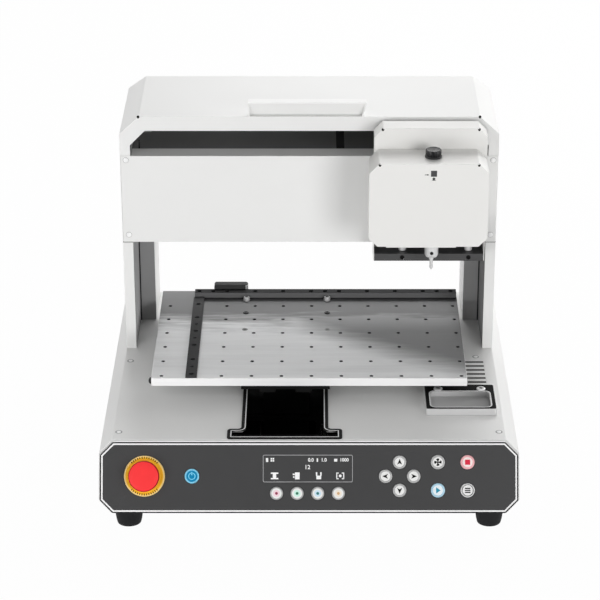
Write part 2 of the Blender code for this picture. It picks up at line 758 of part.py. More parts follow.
def make_feet():
    height = floor_level() - GAP
    profile = [
        (0, FOOT_HOLE_DEPTH),
        (FOOT_HOLE_RADIUS, FOOT_HOLE_DEPTH),
        (FOOT_HOLE_RADIUS, 0),
        (FOOT_SOLE_RADIUS - FOOT_CHAMFER, 0),
        (FOOT_SOLE_RADIUS, FOOT_CHAMFER),
        (FOOT_RADIUS, height),
        (0, height),
    ]
    for end, y in (("front", FOOT_FRONT), ("rear", FOOT_REAR)):
        for side, x in (("left", -FOOT_HALF_SPACING), ("right", FOOT_HALF_SPACING)):
            at = (x, FOOT_EDGE + y, 0)
            piece(f"foot_{end}_{side}", turned(profile), RUBBER, at, smooth=True)


def floor_level():
    """Underside of the floor plate."""
    return BASE_BOTTOM - GAP - SHEET


def pan_section(shrink, top):
    """The stepped pan's outline in XZ, moved in by a wall."""
    wide, deep = PAN_HALF_WIDTH - shrink, DEEP_PAN_HALF_WIDTH - shrink
    level, low = PAN_LEVEL + shrink, DEEP_PAN_LEVEL + shrink
    return [
        (-wide, top),
        (-wide, level),
        (-deep, level),
        (-deep, low),
        (deep, low),
        (deep, level),
        (wide, level),
        (wide, top),
    ]


def make_floor():
    """The floor plate, pressed into a stepped pan under the lift mast."""
    half = BASE_WIDTH / 2 - BASE_CORNER_X - FLOOR_PLAY
    outline = rectangle(-half, half, FOOT_EDGE + FLOOR_FRONT, FOOT_EDGE + FLOOR_REAR)
    floor = piece("base_floor", plate(outline, SHEET), WHITE_POWDER, (0, 0, floor_level()))
    level = floor_level() + SHEET
    outer = plate(pan_section(0, level), PAN_REAR - PAN_FRONT, axes=ALONG_Y)
    combine(floor, helper("pan_outer", outer, (0, FOOT_EDGE + PAN_FRONT, 0)), "UNION")
    length = PAN_REAR - PAN_FRONT - 2 * SHEET
    inner = plate(pan_section(SHEET, level + OVERRUN), length, axes=ALONG_Y)
    combine(floor, helper("pan_inner", inner, (0, FOOT_EDGE + PAN_FRONT + SHEET, 0)))


def panel_place(lift):
    """World place of the panel's middle, raised out of its outer face."""
    normal = Vector((0, -math.cos(PANEL_TILT), math.sin(PANEL_TILT)))
    return PANEL_CENTRE + normal * lift


def panel_point(u, v):
    """World place of a point on the panel's outer face."""
    up = Vector((0, math.sin(PANEL_TILT), math.cos(PANEL_TILT)))
    return PANEL_CENTRE + Vector((u, 0, 0)) + up * v


def panel_helper(name, mesh, lift):
    return helper(name, mesh, panel_place(lift), PANEL_TURN)


def button_table():
    """Every round button of the panel: name, place in the panel's plane, radius, finish."""
    rows = [("power_button", POWER_U, POWER_V, POWER_RADIUS, BUTTON_BLUE)]
    for index in range(4):
        u = FUNCTION_U + index * FUNCTION_PITCH
        rows.append((f"function_button_{index + 1}", u, FUNCTION_V, FUNCTION_RADIUS, BUTTON_WHITE))
    for name, across, up in (("up", 0, 1), ("left", -1, 0), ("right", 1, 0), ("down", 0, -1)):
        u, v = ARROW_U + across * ARROW_OFFSET, ARROW_V + up * ARROW_OFFSET
        rows.append((f"{name}_button", u, v, ARROW_RADIUS, BUTTON_WHITE))
    for name, across, up in (("fan", 0, 1), ("stop", 1, 1), ("start", 0, -1), ("menu", 1, -1)):
        u, v = COMMAND_U + across * COMMAND_PITCH, ARROW_V + up * ARROW_OFFSET
        rows.append((f"{name}_button", u, v, COMMAND_RADIUS, BUTTON_WHITE))
    return rows


def make_panel():
    """The control panel with its display window and round buttons."""
    half_u, half_v = PANEL_WIDTH / 2, PANEL_RISE / 2
    cut = eight_cornered(-half_u, half_u, -half_v, half_v, PANEL_CORNER, PANEL_CORNER)
    outline = filleted(cut, PANEL_CORNER_RADIUS, 2)
    holes = [circle(ESTOP_U, ESTOP_V, ESTOP_BARREL_RADIUS + GAP, ROUND)]
    for _, u, v, radius, _ in button_table():
        holes.append(circle(u, v, radius + BUTTON_PLAY, ROUND))
    window = rectangle(
        WINDOW_U - WINDOW_WIDTH / 2,
        WINDOW_U + WINDOW_WIDTH / 2,
        WINDOW_V - WINDOW_HEIGHT / 2,
        WINDOW_V + WINDOW_HEIGHT / 2,
    )
    holes.append(window)
    plate_mesh = plate(outline, PANEL_THICK, holes)
    piece("front_panel", plate_mesh, PANEL_INK, panel_place(-PANEL_THICK), turn=PANEL_TURN)
    flange_depth = PANEL_THICK + GAP + WINDOW_FLANGE_THICK
    flange = plate(inset(window, -WINDOW_FLANGE), WINDOW_FLANGE_THICK)
    display = piece("display_window", flange, DISPLAY_GLASS, panel_place(-flange_depth), turn=PANEL_TURN)
    lens = plate(inset(window, GAP), flange_depth - WINDOW_SUNK)
    combine(display, panel_helper("display_lens", lens, -flange_depth), "UNION")
    for name, u, v, radius, finish in button_table():
        under = PANEL_THICK + GAP
        profile = [
            (0, -under - BUTTON_FLANGE_THICK),
            (radius + BUTTON_FLANGE, -under - BUTTON_FLANGE_THICK),
            (radius + BUTTON_FLANGE, -under),
            (radius, -under),
            (radius, BUTTON_PROUD - BUTTON_EDGE),
            (radius - BUTTON_EDGE, BUTTON_PROUD),
            (0, BUTTON_PROUD),
        ]
        piece(name, turned(profile), finish, panel_point(u, v), turn=PANEL_TURN, smooth=True)


def make_estop():
    """The emergency stop: a ring with its barrel, and a mushroom head that pushes in."""
    bore = ESTOP_STEM_RADIUS + RUN
    collar = [
        (bore, -ESTOP_BARREL_DEPTH),
        (ESTOP_BARREL_RADIUS, -ESTOP_BARREL_DEPTH),
        (ESTOP_BARREL_RADIUS, GAP),
        (ESTOP_RING_RADIUS, GAP),
        (ESTOP_RING_RADIUS, ESTOP_RING_THICK - BUTTON_EDGE),
        (ESTOP_RING_RADIUS - BUTTON_EDGE, ESTOP_RING_THICK),
        (bore, ESTOP_RING_THICK),
    ]
    at = panel_point(ESTOP_U, ESTOP_V)
    piece("estop_collar", turned(collar, closed=True), STOP_YELLOW, at, turn=PANEL_TURN, smooth=True)
    stem = [
        (0, -ESTOP_STEM_DEPTH),
        (ESTOP_STEM_RADIUS, -ESTOP_STEM_DEPTH),
        (ESTOP_STEM_RADIUS, ESTOP_HEAD_UNDER),
    ]
    piece("estop_head", turned(stem + estop_dome()), STOP_RED, at, turn=PANEL_TURN, smooth=True)


def make_slot_trim():
    outer = filleted(tee(0), SLOT_CORNER)
    inner = filleted(tee(TRIM_BAND), SLOT_CORNER)
    piece("slot_trim", plate(outer, TRIM_THICK, [inner]), BLACK_PAINT, (0, 0, BASE_TOP + GAP))


def make_tray():
    """The tool tray: a low block with a rounded pocket."""
    front = FOOT_EDGE + TRAY_FRONT
    outline = rectangle(TRAY_LEFT, TRAY_RIGHT, front, FOOT_EDGE + TRAY_REAR)
    level = BASE_TOP + GAP
    block = plate(filleted(outline, TRAY_CORNER), TRAY_HEIGHT)
    tray = piece("tool_tray", block, BLACK_PAINT, (0, 0, level))
    low = front + TRAY_POCKET_FRONT
    left, right = TRAY_LEFT + TRAY_POCKET_SIDE, TRAY_RIGHT - TRAY_POCKET_SIDE
    pocket = rectangle(left, right, low, low + TRAY_POCKET_LENGTH)
    cutter = plate(filleted(pocket, TRAY_POCKET_CORNER), TRAY_POCKET_DEPTH + OVERRUN)
    combine(tray, helper("tray_pocket", cutter, (0, 0, level + TRAY_HEIGHT - TRAY_POCKET_DEPTH)))


def make_columns():
    """On each side a folded white column and, behind it, the grey upright that carries the beam."""
    bottom = BASE_TOP + GAP
    height = COLUMN_TOP - bottom
    outer, inner = GANTRY_HALF_WIDTH, COLUMN_INNER
    front = FOOT_EDGE + GANTRY_FRONT + SHEET + GAP
    rear = FOOT_EDGE + GANTRY_REAR
    inner_end = FOOT_EDGE + UPRIGHT_FRONT + SHEET
    fold = [
        (inner, front),
        (outer, front),
        (outer, rear),
        (inner, rear),
        (inner, rear - SHEET),
        (outer - SHEET, rear - SHEET),
        (outer - SHEET, front + SHEET),
        (inner + SHEET, front + SHEET),
        (inner + SHEET, inner_end),
        (inner, inner_end),
    ]
    right = inner - RUN
    tube = rectangle(right - UPRIGHT_WIDTH, right, FOOT_EDGE + UPRIGHT_FRONT, rear)
    for side, turn_over in (("right", list), ("left", mirrored)):
        at = (0, 0, bottom)
        piece(f"side_cover_{side}", plate(turn_over(fold), height), WHITE_POWDER, at)
        walls = plate(turn_over(tube), height, [turn_over(inset(tube, UPRIGHT_WALL))])
        piece(f"upright_{side}", walls, GREY_POWDER, at)


def beam_front():
    return FOOT_EDGE + UPRIGHT_FRONT - GAP - BEAM_DEPTH


def x_screw_height():
    """The screw's height: its motor stands on the beam."""
    return BEAM_BOTTOM + BEAM_HEIGHT + GAP + MOTOR_SIDE / 2


def x_screw_y():
    return beam_front() + BEAM_DEPTH / 2


def rail_section(half, height):
    """A guide rail's cross-section with its waist, standing on zero."""
    return [
        (-half, 0),
        (half, 0),
        (half, height / 4),
        (half - RAIL_WAIST, height / 2),
        (half, 3 * height / 4),
        (half, height),
        (-half, height),
        (-half, 3 * height / 4),
        (RAIL_WAIST - half, height / 2),
        (-half, height / 4),
    ]


def beam_section():
    """The extruded beam's cross-section in YZ, with grooves on all four sides."""
    low, high = BEAM_BOTTOM, BEAM_BOTTOM + BEAM_HEIGHT
    front, rear = beam_front(), beam_front() + BEAM_DEPTH
    groove, depth = BEAM_GROOVE_WIDTH / 2, BEAM_GROOVE_DEPTH
    middle = (front + rear) / 2
    levels = (low + BEAM_GROOVE_EDGE, high - BEAM_GROOVE_EDGE)
    points = [(front, low), (middle - groove, low), (middle - groove, low + depth)]
    points += [(middle + groove, low + depth), (middle + groove, low), (rear, low)]
    for level in levels:
        points += [(rear, level - groove), (rear - depth, level - groove)]
        points += [(rear - depth, level + groove), (rear, level + groove)]
    points += [(rear, high), (middle + groove, high), (middle + groove, high - depth)]
    points += [(middle - groove, high - depth), (middle - groove, high), (front, high)]
    for level in reversed(levels):
        points += [(front, level + groove), (front + depth, level + groove)]
        points += [(front + depth, level - groove), (front, level - groove)]
    return points


def make_beam():
    """The beam between the columns, with the screw's bearing plate at its right end."""
    half = COLUMN_INNER - RUN
    beam = piece("x_beam", plate(beam_section(), 2 * half, axes=ALONG_X), BRUSHED, (-half, 0, 0))
    front, rear = beam_front(), beam_front() + BEAM_DEPTH
    bearing = rectangle(front, rear, BEAM_BOTTOM, x_screw_height() + NUT_HALF)
    bore = circle(x_screw_y(), x_screw_height(), SCREW_RADIUS + RUN, COARSE)
    end = plate(bearing, BEARING_PLATE_THICK, [bore], ALONG_X)
    combine(beam, helper("beam_bearing", end, (half - BEARING_PLATE_THICK, 0, 0)), "UNION")
    rail = plate(rail_section(RAIL_WIDTH / 2, RAIL_HEIGHT), X_RAIL_LENGTH)
    lay = Matrix(((0, 0, 1, 0), (0, -1, 0, 0), (1, 0, 0, 0), (0, 0, 0, 1)))
    rail.transform(lay)
    at = (-X_RAIL_LENGTH / 2, beam_front() - GAP, BEAM_BOTTOM + BEAM_HEIGHT / 2)
    piece("x_rail", rail, STEEL, at)


def motor(name, axes, at):
    """A square stepper motor that starts at the given place: two end bells, the stack and a pilot ring."""
    half = MOTOR_SIDE / 2
    bell = eight_cornered(-half, half, -half, half, MOTOR_CORNER, MOTOR_CORNER)
    stack = inset(bell, MOTOR_WAIST)
    far_bell = MOTOR_LENGTH - MOTOR_BELL
    levels = [
        (bell, 0),
        (bell, MOTOR_BELL),
        (stack, MOTOR_BELL),
        (stack, far_bell),
        (bell, far_bell),
        (bell, MOTOR_LENGTH),
    ]
    made = piece(name, loft(levels, axes), MOTOR_BLACK, at)
    reach = MOTOR_LENGTH / 2 + MOTOR_PILOT_LENGTH
    pilot = plate(circle(0, 0, MOTOR_PILOT_RADIUS, ROUND), reach, axes=axes)
    combine(made, helper(f"{name}_pilot", pilot, at_middle(axes, at)), "UNION")
    return made


def at_middle(axes, at):
    """Halfway along a motor that starts at the given place."""
    return Vector(at) + axes.to_3x3() @ Vector((0, 0, MOTOR_LENGTH / 2))


def make_x_drive():
    """Motor and lead screw of the head's travel."""
    left = -COLUMN_INNER + RUN + GAP
    at = (left, x_screw_y(), x_screw_height())
    motor("x_motor", ALONG_X, at)
    start = left + MOTOR_LENGTH + MOTOR_PILOT_LENGTH + GAP
    length = COLUMN_INNER - RUN - GAP - start
    mesh = turned([(0, 0), (SCREW_RADIUS, 0), (SCREW_RADIUS, length), (0, length)], COARSE)
    mesh.transform(ALONG_X)
    piece("x_screw", mesh, STEEL, (start, x_screw_y(), x_screw_height()), smooth=True)


def make_beam_cover():
    """The white cover before the beam: a folded channel on a wider front."""
    front = FOOT_EDGE + GANTRY_FRONT
    face = rectangle(-COVER_HALF_WIDTH, COVER_HALF_WIDTH, COVER_BOTTOM, COVER_TOP)
    cover = piece("beam_cover", plate(face, SHEET, axes=ALONG_Y), WHITE_POWDER, (0, front, 0))
    channel = [
        (front, COVER_BOTTOM),
        (front + COVER_BOTTOM_FLANGE, COVER_BOTTOM),
        (front + COVER_BOTTOM_FLANGE, COVER_BOTTOM + SHEET),
        (front + SHEET, COVER_BOTTOM + SHEET),
        (front + SHEET, COVER_TOP - SHEET),
        (front + COVER_TOP_FLANGE, COVER_TOP - SHEET),
        (front + COVER_TOP_FLANGE, COVER_TOP),
        (front, COVER_TOP),
    ]
    half = COLUMN_INNER - RUN
    combine(cover, helper("cover_channel", plate(channel, 2 * half, axes=ALONG_X), (-half, 0, 0)), "UNION")


def hood_section(half, low, shoulder, top, corner):
    """The hood's outline in XZ: straight legs and cut upper corners."""
    return [
        (-half, low),
        (half, low),
        (half, shoulder),
        (half - corner, top),
        (corner - half, top),
        (-half, shoulder),
    ]


def folded_shell(section, wall):
    """The outer and the inner outline of a sheet folded to a hood's section, which stays open below."""
    inner = inset(section, wall)
    for foot in (0, 1):
        inner[foot] = (inner[foot][0], section[foot][1] - OVERRUN)
    outer = filleted(section, FOLD_RADIUS, 2, sharp=(0, 1))
    return outer, filleted(inner, FOLD_RADIUS - wall, 2, sharp=(0, 1))


def across_hood(name, side):
    """A helper as wide as the gantry and more, with the hood's side outline in YZ."""
    half = GANTRY_HALF_WIDTH + OVERRUN
    return helper(name, plate(side, 2 * half, axes=ALONG_X), (-half, 0, 0))


def make_hood():
    """The hood over the beam: open below and in front, sloped and with an apron behind."""
    low = COVER_TOP + GAP
    front, rear = FOOT_EDGE + GANTRY_FRONT, FOOT_EDGE + GANTRY_REAR
    section = hood_section(GANTRY_HALF_WIDTH, low, HOOD_SHOULDER, HOOD_TOP, HOOD_CORNER_X)
    outer, inner = folded_shell(section, SHEET)
    side = [
        (front, low),
        (rear, low),
        (rear, HOOD_SHOULDER),
        (rear - HOOD_CORNER_REAR, HOOD_TOP),
        (front, HOOD_TOP),
    ]
    hood = piece("hood", plate(outer, rear - front, axes=ALONG_Y), WHITE_POWDER, (0, front, 0))
    combine(hood, across_hood("hood_side", side), "INTERSECT")
    hollow = helper("hood_hollow", plate(inner, rear - front, axes=ALONG_Y), (0, front, 0))
    open_side = inset(side, SHEET)
    for foot in (0, 1):
        open_side[foot] = (open_side[foot][0], low - OVERRUN)
    combine(hollow, across_hood("hood_inner_side", open_side), "INTERSECT")
    combine(hood, hollow)
    mouth = hood_section(
        COLUMN_INNER, low - OVERRUN, HOOD_OPENING_SHOULDER, HOOD_OPENING_TOP, HOOD_OPENING_CORNER_X
    )
    combine(hood, helper("hood_mouth", plate(mouth, 2 * OVERRUN, axes=ALONG_Y), (0, front - OVERRUN, 0)))
    half = COLUMN_INNER - 2 * RUN - UPRIGHT_WIDTH
    apron = plate(rectangle(-half, half, APRON_BOTTOM, low + APRON_LAP), SHEET, axes=ALONG_Y)
    combine(hood, helper("hood_apron", apron, (0, rear - SHEET, 0)), "UNION")


def make_grip():
    """The finger grip along the hood's front edge, scooped out in front with sloping ends."""
    half = GRIP_WIDTH / 2
    bottom = HOOD_TOP + GAP
    front = FOOT_EDGE + GANTRY_FRONT - GRIP_OVERHANG
    bar = rectangle(GRIP_X - half, GRIP_X + half, bottom, bottom + GRIP_HEIGHT)
    grip = piece("hood_grip", plate(bar, GRIP_DEPTH, axes=ALONG_Y), WHITE_POWDER, (0, front, 0))
    mouth = inset(bar, GRIP_RIM)
    deep = rectangle(
        mouth[0][0] + GRIP_TAPER_X,
        mouth[1][0] - GRIP_TAPER_X,
        mouth[0][1] + GRIP_TAPER_Z,
        mouth[2][1] - GRIP_TAPER_Z,
    )
    scoop = loft([(mouth, 0), (deep, GRIP_SCOOP + GRIP_OVERHANG)], ALONG_Y)
    combine(grip, helper("grip_scoop", scoop, (0, front - GRIP_OVERHANG, 0)))


def carriage_section():
    """The head carriage's cross-section in YZ: rail block, screw nut and the arm over the cover."""
    front = FOOT_EDGE + CARRIAGE_FRONT
    plate_back = front + CARRIAGE_PLATE
    back = beam_front() - 2 * RUN
    groove = beam_front() - GAP - RAIL_HEIGHT - RUN
    rail = BEAM_BOTTOM + BEAM_HEIGHT / 2
    half = RAIL_WIDTH / 2 + RUN
    foot, brow = rail - half - CARRIAGE_BLOCK_LIP, rail + half + CARRIAGE_BLOCK_LIP
    screw, nut_back = x_screw_height(), x_screw_y() + NUT_HALF
    arm_front = FOOT_EDGE + HEAD_REAR + GAP
    return [
        (front, foot),
        (back, foot),
        (back, rail - half),
        (groove, rail - half),
        (groove, rail + half),
        (back, rail + half),
        (back, brow),
        (plate_back, brow),
        (plate_back, screw - NUT_HALF),
        (nut_back, screw - NUT_HALF),
        (nut_back, screw + NUT_HALF),
        (plate_back, screw + NUT_HALF),
        (plate_back, ARM_BOTTOM + ARM_THICK),
        (arm_front, ARM_BOTTOM + ARM_THICK),
        (arm_front, ARM_BOTTOM),
        (front, ARM_BOTTOM),
    ]


def z_screw_x():
    return (ROD_LEFT_X + ROD_RIGHT_X) / 2


def make_head(travel):
    """The parts that travel along the beam: carriage, frame, rear cover, guide rods and feed motor."""
    bore = circle(x_screw_y(), x_screw_height(), SCREW_RADIUS + RUN, COARSE)
    block = plate(carriage_section(), CARRIAGE_WIDTH, [bore], ALONG_X)
    piece("x_carriage", block, ANODISED, (CARRIAGE_X - CARRIAGE_WIDTH / 2, 0, 0), travel)
    make_head_frame(travel)
    make_head_rear_cover(travel)
    low, high = BRACKET_LEVEL + GAP, TOP_FLANGE_LEVEL - TOP_FLANGE_THICK - GAP
    for side, x in (("left", ROD_LEFT_X), ("right", ROD_RIGHT_X)):
        rod = turned([(0, 0), (ROD_RADIUS, 0), (ROD_RADIUS, high - low), (0, high - low)], COARSE)
        piece(f"guide_rod_{side}", rod, STEEL, (x, FOOT_EDGE + ROD_Y, low), travel, smooth=True)
    body = [
        (0, 0),
        (Z_MOTOR_RADIUS - BUTTON_EDGE, 0),
        (Z_MOTOR_RADIUS, BUTTON_EDGE),
        (Z_MOTOR_RADIUS, Z_MOTOR_HEIGHT - BUTTON_EDGE),
        (Z_MOTOR_RADIUS - BUTTON_EDGE, Z_MOTOR_HEIGHT),
        (0, Z_MOTOR_HEIGHT),
    ]
    before_plate = FOOT_EDGE + HEAD_REAR - HEAD_PLATE - GAP - Z_MOTOR_RADIUS
    at = (z_screw_x(), before_plate, TOP_FLANGE_LEVEL + GAP)
    piece("z_motor", turned(body), MOTOR_BLACK, at, travel, smooth=True)


def make_head_frame(travel):
    """The head's bent plate: a lip and a bracket below, the back, and a flange for the feed motor."""
    front, rear = FOOT_EDGE + HEAD_FRONT, FOOT_EDGE + HEAD_REAR
    face, ledge = rear - HEAD_PLATE, front + TOP_FLANGE_SET_BACK
    bend = [
        (front, HEAD_BOTTOM),
        (front + BRACKET_LIP, HEAD_BOTTOM),
        (front + BRACKET_LIP, BRACKET_LEVEL - BRACKET_THICK),
        (rear, BRACKET_LEVEL - BRACKET_THICK),
        (rear, HEAD_TOP - HEAD_CORNER - HEAD_WALL),
        (face, HEAD_TOP - HEAD_CORNER - HEAD_WALL),
        (face, TOP_FLANGE_LEVEL),
        (ledge, TOP_FLANGE_LEVEL),
        (ledge, TOP_FLANGE_LEVEL - TOP_FLANGE_THICK),
        (face, TOP_FLANGE_LEVEL - TOP_FLANGE_THICK),
        (face, BRACKET_LEVEL),
        (front, BRACKET_LEVEL),
    ]
    left = HEAD_LEFT + HEAD_WALL + GAP
    width = HEAD_RIGHT - HEAD_LEFT - 2 * (HEAD_WALL + GAP)
    frame = piece("head_frame", plate(bend, width, axes=ALONG_X), DARK_SHEET, (left, 0, 0), travel)
    hole_level = (HEAD_BOTTOM + BRACKET_LEVEL - BRACKET_THICK) / 2
    for side, x in (("left", ROD_LEFT_X), ("right", ROD_RIGHT_X)):
        hole = plate(circle(x, hole_level, BRACKET_HOLE_RADIUS, COARSE), OVERRUN, axes=ALONG_Y)
        combine(frame, helper(f"bracket_hole_{side}", hole, (0, front - OVERRUN / 2, 0)))
    passage = plate(circle(z_screw_x(), FOOT_EDGE + ROD_Y, Z_SCREW_RADIUS + RUN, COARSE), 2 * OVERRUN)
    combine(frame, helper("frame_screw_hole", passage, (0, 0, TOP_FLANGE_LEVEL - OVERRUN)))


def make_head_rear_cover(travel):
    """A shell open behind and below, its front cut away where the dropping block passes."""
    front, rear = FOOT_EDGE + HEAD_FRONT, FOOT_EDGE + HEAD_REAR
    middle, half = (HEAD_LEFT + HEAD_RIGHT) / 2, (HEAD_RIGHT - HEAD_LEFT) / 2
    section = hood_section(half, HEAD_BOTTOM, HEAD_TOP - HEAD_CORNER, HEAD_TOP, HEAD_CORNER)
    outer, inner = folded_shell(section, HEAD_WALL)
    shell = plate(outer, rear - front, axes=ALONG_Y)
    cover = piece("head_rear_cover", shell, WHITE_POWDER, (middle, front, 0), travel)
    hollow = plate(inner, rear - front + OVERRUN, axes=ALONG_Y)
    combine(cover, helper("head_hollow", hollow, (middle, front + HEAD_WALL, 0)))
    clear = half - HEAD_WALL
    mouth = plate(rectangle(-clear, clear, HEAD_BOTTOM - OVERRUN, HEAD_OPENING_TOP), OVERRUN, axes=ALONG_Y)
    combine(cover, helper("head_mouth", mouth, (middle, front - OVERRUN / 2, 0)))


def make_feed_screw(travel):
    low = BRACKET_LEVEL + GAP
    length = TOP_FLANGE_LEVEL - low
    screw = turned([(0, 0), (Z_SCREW_RADIUS, 0), (Z_SCREW_RADIUS, length), (0, length)], COARSE)
    piece("z_screw", screw, STEEL, (z_screw_x(), FOOT_EDGE + ROD_Y, low), travel, smooth=True)


def make_drop(drop):
    """The block that drops along the guide rods, with its bores, and the head's face on it."""
    neck_left, neck_right = SPINDLE_X - NECK_WIDTH / 2, SPINDLE_X + NECK_WIDTH / 2
    neck_front, front, rear = (FOOT_EDGE + y for y in (NECK_FRONT, BLOCK_FRONT, BLOCK_REAR))
    left, right = ROD_LEFT_X - BLOCK_END_LEFT, ROD_RIGHT_X + BLOCK_END_RIGHT
    outline = [
        (neck_left, neck_front),
        (neck_right, neck_front),
        (neck_right, front),
        (right, front),
        (right, rear),
        (left, rear),
        (left, front),
        (neck_left, front),
    ]
    holes = [
        circle(ROD_LEFT_X, FOOT_EDGE + ROD_Y, ROD_RADIUS + RUN, COARSE),
        circle(ROD_RIGHT_X, FOOT_EDGE + ROD_Y, ROD_RADIUS + RUN, COARSE),
        circle(z_screw_x(), FOOT_EDGE + ROD_Y, Z_SCREW_RADIUS + RUN, COARSE),
        circle(SPINDLE_X, FOOT_EDGE + SPINDLE_Y, QUILL_RADIUS + RUN, ROUND),
    ]
    block = plate(outline, BLOCK_TOP - BLOCK_BOTTOM, holes)
    piece("z_block", block, ANODISED, (0, 0, BLOCK_BOTTOM), drop)
    make_head_front_cover(drop)


def face_section(wall):
    """The front cover's outline in XZ with its cut corners, moved in by a wall."""
    return inset(
        [
            (FACE_LEFT + FACE_BOTTOM_CORNER, FACE_BOTTOM),
            (FACE_RIGHT - FACE_BOTTOM_CORNER, FACE_BOTTOM),
            (FACE_RIGHT, FACE_BOTTOM + FACE_BOTTOM_CORNER),
            (FACE_RIGHT, FACE_TOP - FACE_TOP_CORNER),
            (FACE_RIGHT - FACE_TOP_CORNER, FACE_TOP),
            (FACE_LEFT + FACE_TOP_CORNER, FACE_TOP),
            (FACE_LEFT, FACE_TOP - FACE_TOP_CORNER),
            (FACE_LEFT, FACE_BOTTOM + FACE_BOTTOM_CORNER),
        ],
        wall,
    )


def make_head_front_cover(drop):
    """The head's face: a shell open behind, with holes for the knob's shaft and the nose."""
    front = FOOT_EDGE + FACE_FRONT
    shell = plate(filleted(face_section(0), FOLD_RADIUS, 2), FACE_DEPTH, axes=ALONG_Y)
    cover = piece("head_front_cover", shell, WHITE_POWDER, (0, front, 0), drop)
    inside = filleted(face_section(FACE_WALL), FOLD_RADIUS - FACE_WALL, 2)
    hollow = plate(inside, FACE_DEPTH + OVERRUN, axes=ALONG_Y)
    combine(cover, helper("face_hollow", hollow, (0, front + FACE_WALL, 0)))
    spindle = FOOT_EDGE + SPINDLE_Y
    above = plate(circle(SPINDLE_X, spindle, KNOB_SHAFT_RADIUS + RUN, COARSE), 2 * OVERRUN)
    combine(cover, helper("face_knob_hole", above, (0, 0, FACE_TOP - OVERRUN)))
    below = plate(circle(SPINDLE_X, spindle, NOSE_RADIUS + 2 * RUN, ROUND), 2 * OVERRUN)
    combine(cover, helper("face_nose_hole", below, (0, 0, FACE_BOTTOM - OVERRUN)))


def fluted(radius, height):
    """The knob's gripping rim: an outline with round flutes."""
    outline = []
    for index in range(KNOB_FLUTES * 4):
        depth = KNOB_FLUTE_DEPTH * (0, 1, 1, 0)[index % 4]
        angle = math.pi / 2 * index / KNOB_FLUTES
        outline.append(((radius - depth) * math.cos(angle), (radius - depth) * math.sin(angle)))
    return plate(outline, height)


def spindle_place(height):
    """A point on the axis that the quill, the tool holder, the stylus and the knob share."""
    return SPINDLE_X, FOOT_EDGE + SPINDLE_Y, height


def make_quill(floating):
    """The sleeve that floats in the block and carries the tool holder."""
    bore = SHAFT_RADIUS + RUN
    sleeve = [
        (bore, QUILL_BOTTOM),
        (QUILL_RADIUS, QUILL_BOTTOM),
        (QUILL_RADIUS, QUILL_TOP),
        (bore, QUILL_TOP),
    ]
    piece("quill", turned(sleeve, closed=True), STEEL, spindle_place(0), floating, smooth=True)


def make_spindle(turning):
    """The tool holder, whose shaft turns in the quill, and the stylus in its nose."""
    collar = QUILL_BOTTOM - GAP
    socket = STYLUS_NECK_RADIUS + GAP
    socket_top = NOSE_BOTTOM + STYLUS_HIDDEN + GAP
    holder = [(0, socket_top), (socket, socket_top), (socket, NOSE_BOTTOM)]
    for step in range(NOSE_ROUNDING_STEPS + 1):
        angle = math.pi / 2 * step / NOSE_ROUNDING_STEPS
        inwards, up = 1 - math.sin(angle), 1 - math.cos(angle)
        holder.append((NOSE_RADIUS - NOSE_ROUNDING * inwards, NOSE_BOTTOM + NOSE_ROUNDING * up))
    holder += [
        (NOSE_RADIUS, collar),
        (SHAFT_RADIUS, collar),
        (SHAFT_RADIUS, SHAFT_TOP),
        (0, SHAFT_TOP),
    ]
    at = spindle_place(0)
    spindle = piece("tool_spindle", turned(holder), STEEL, at, turning, smooth=True)
    depth = NOSE_RADIUS - STYLUS_NECK_RADIUS - 2 * RUN
    bore = circle(SPINDLE_X, NOSE_BOTTOM + NOSE_HOLE_HEIGHT, NOSE_HOLE_RADIUS, COARSE)
    screw_hole = plate(bore, OVERRUN + depth, axes=ALONG_Y)
    before = FOOT_EDGE + SPINDLE_Y - NOSE_RADIUS - OVERRUN
    combine(spindle, helper("nose_screw_hole", screw_hole, (0, before, 0)))
    stylus = [
        (0, STYLUS_TIP),
        (STYLUS_TIP_RADIUS, STYLUS_TIP),
        (STYLUS_RADIUS, STYLUS_TIP + STYLUS_CONE),
        (STYLUS_RADIUS, NOSE_BOTTOM - STYLUS_NECK_LENGTH),
        (STYLUS_NECK_RADIUS, NOSE_BOTTOM - STYLUS_NECK_LENGTH),
        (STYLUS_NECK_RADIUS, NOSE_BOTTOM + STYLUS_HIDDEN),
        (0, NOSE_BOTTOM + STYLUS_HIDDEN),
    ]
    piece("stylus", turned(stylus, COARSE), STEEL, at, turning, smooth=True)


def make_knob(drop):
    """The pressure knob on the head, with a fluted rim and a shaft through the face's top."""
    base = FACE_TOP + GAP
    shaft_bottom = FACE_TOP - KNOB_SHAFT_LENGTH
    knob = [
        (0, shaft_bottom),
        (KNOB_SHAFT_RADIUS, shaft_bottom),
        (KNOB_SHAFT_RADIUS, base),
        (KNOB_FLANGE_RADIUS, base),
        (KNOB_FLANGE_RADIUS, base + KNOB_FLANGE_HEIGHT),
        (KNOB_RADIUS - KNOB_FLUTE_DEPTH - KNOB_EDGE, base + KNOB_FLANGE_HEIGHT),
        (KNOB_RADIUS - KNOB_FLUTE_DEPTH - KNOB_EDGE, base + KNOB_HEIGHT),
        (0, base + KNOB_HEIGHT),
    ]
    made = piece("pressure_knob", turned(knob), KNOB_BLACK, spindle_place(0), drop, smooth=True)
    rim = fluted(KNOB_RADIUS, KNOB_HEIGHT - KNOB_EDGE - KNOB_FLANGE_HEIGHT / 2)
    combine(made, helper("knob_flutes", rim, spindle_place(base + KNOB_FLANGE_HEIGHT / 2)), "UNION")


def y_rail_top():
    return PAN_LEVEL + SHEET + GAP + Y_RAIL_HEIGHT


def y_screw_height():
    """The table screw's height: its motor stands in the deep pan."""
    return DEEP_PAN_LEVEL + SHEET + GAP + MOTOR_SIDE / 2


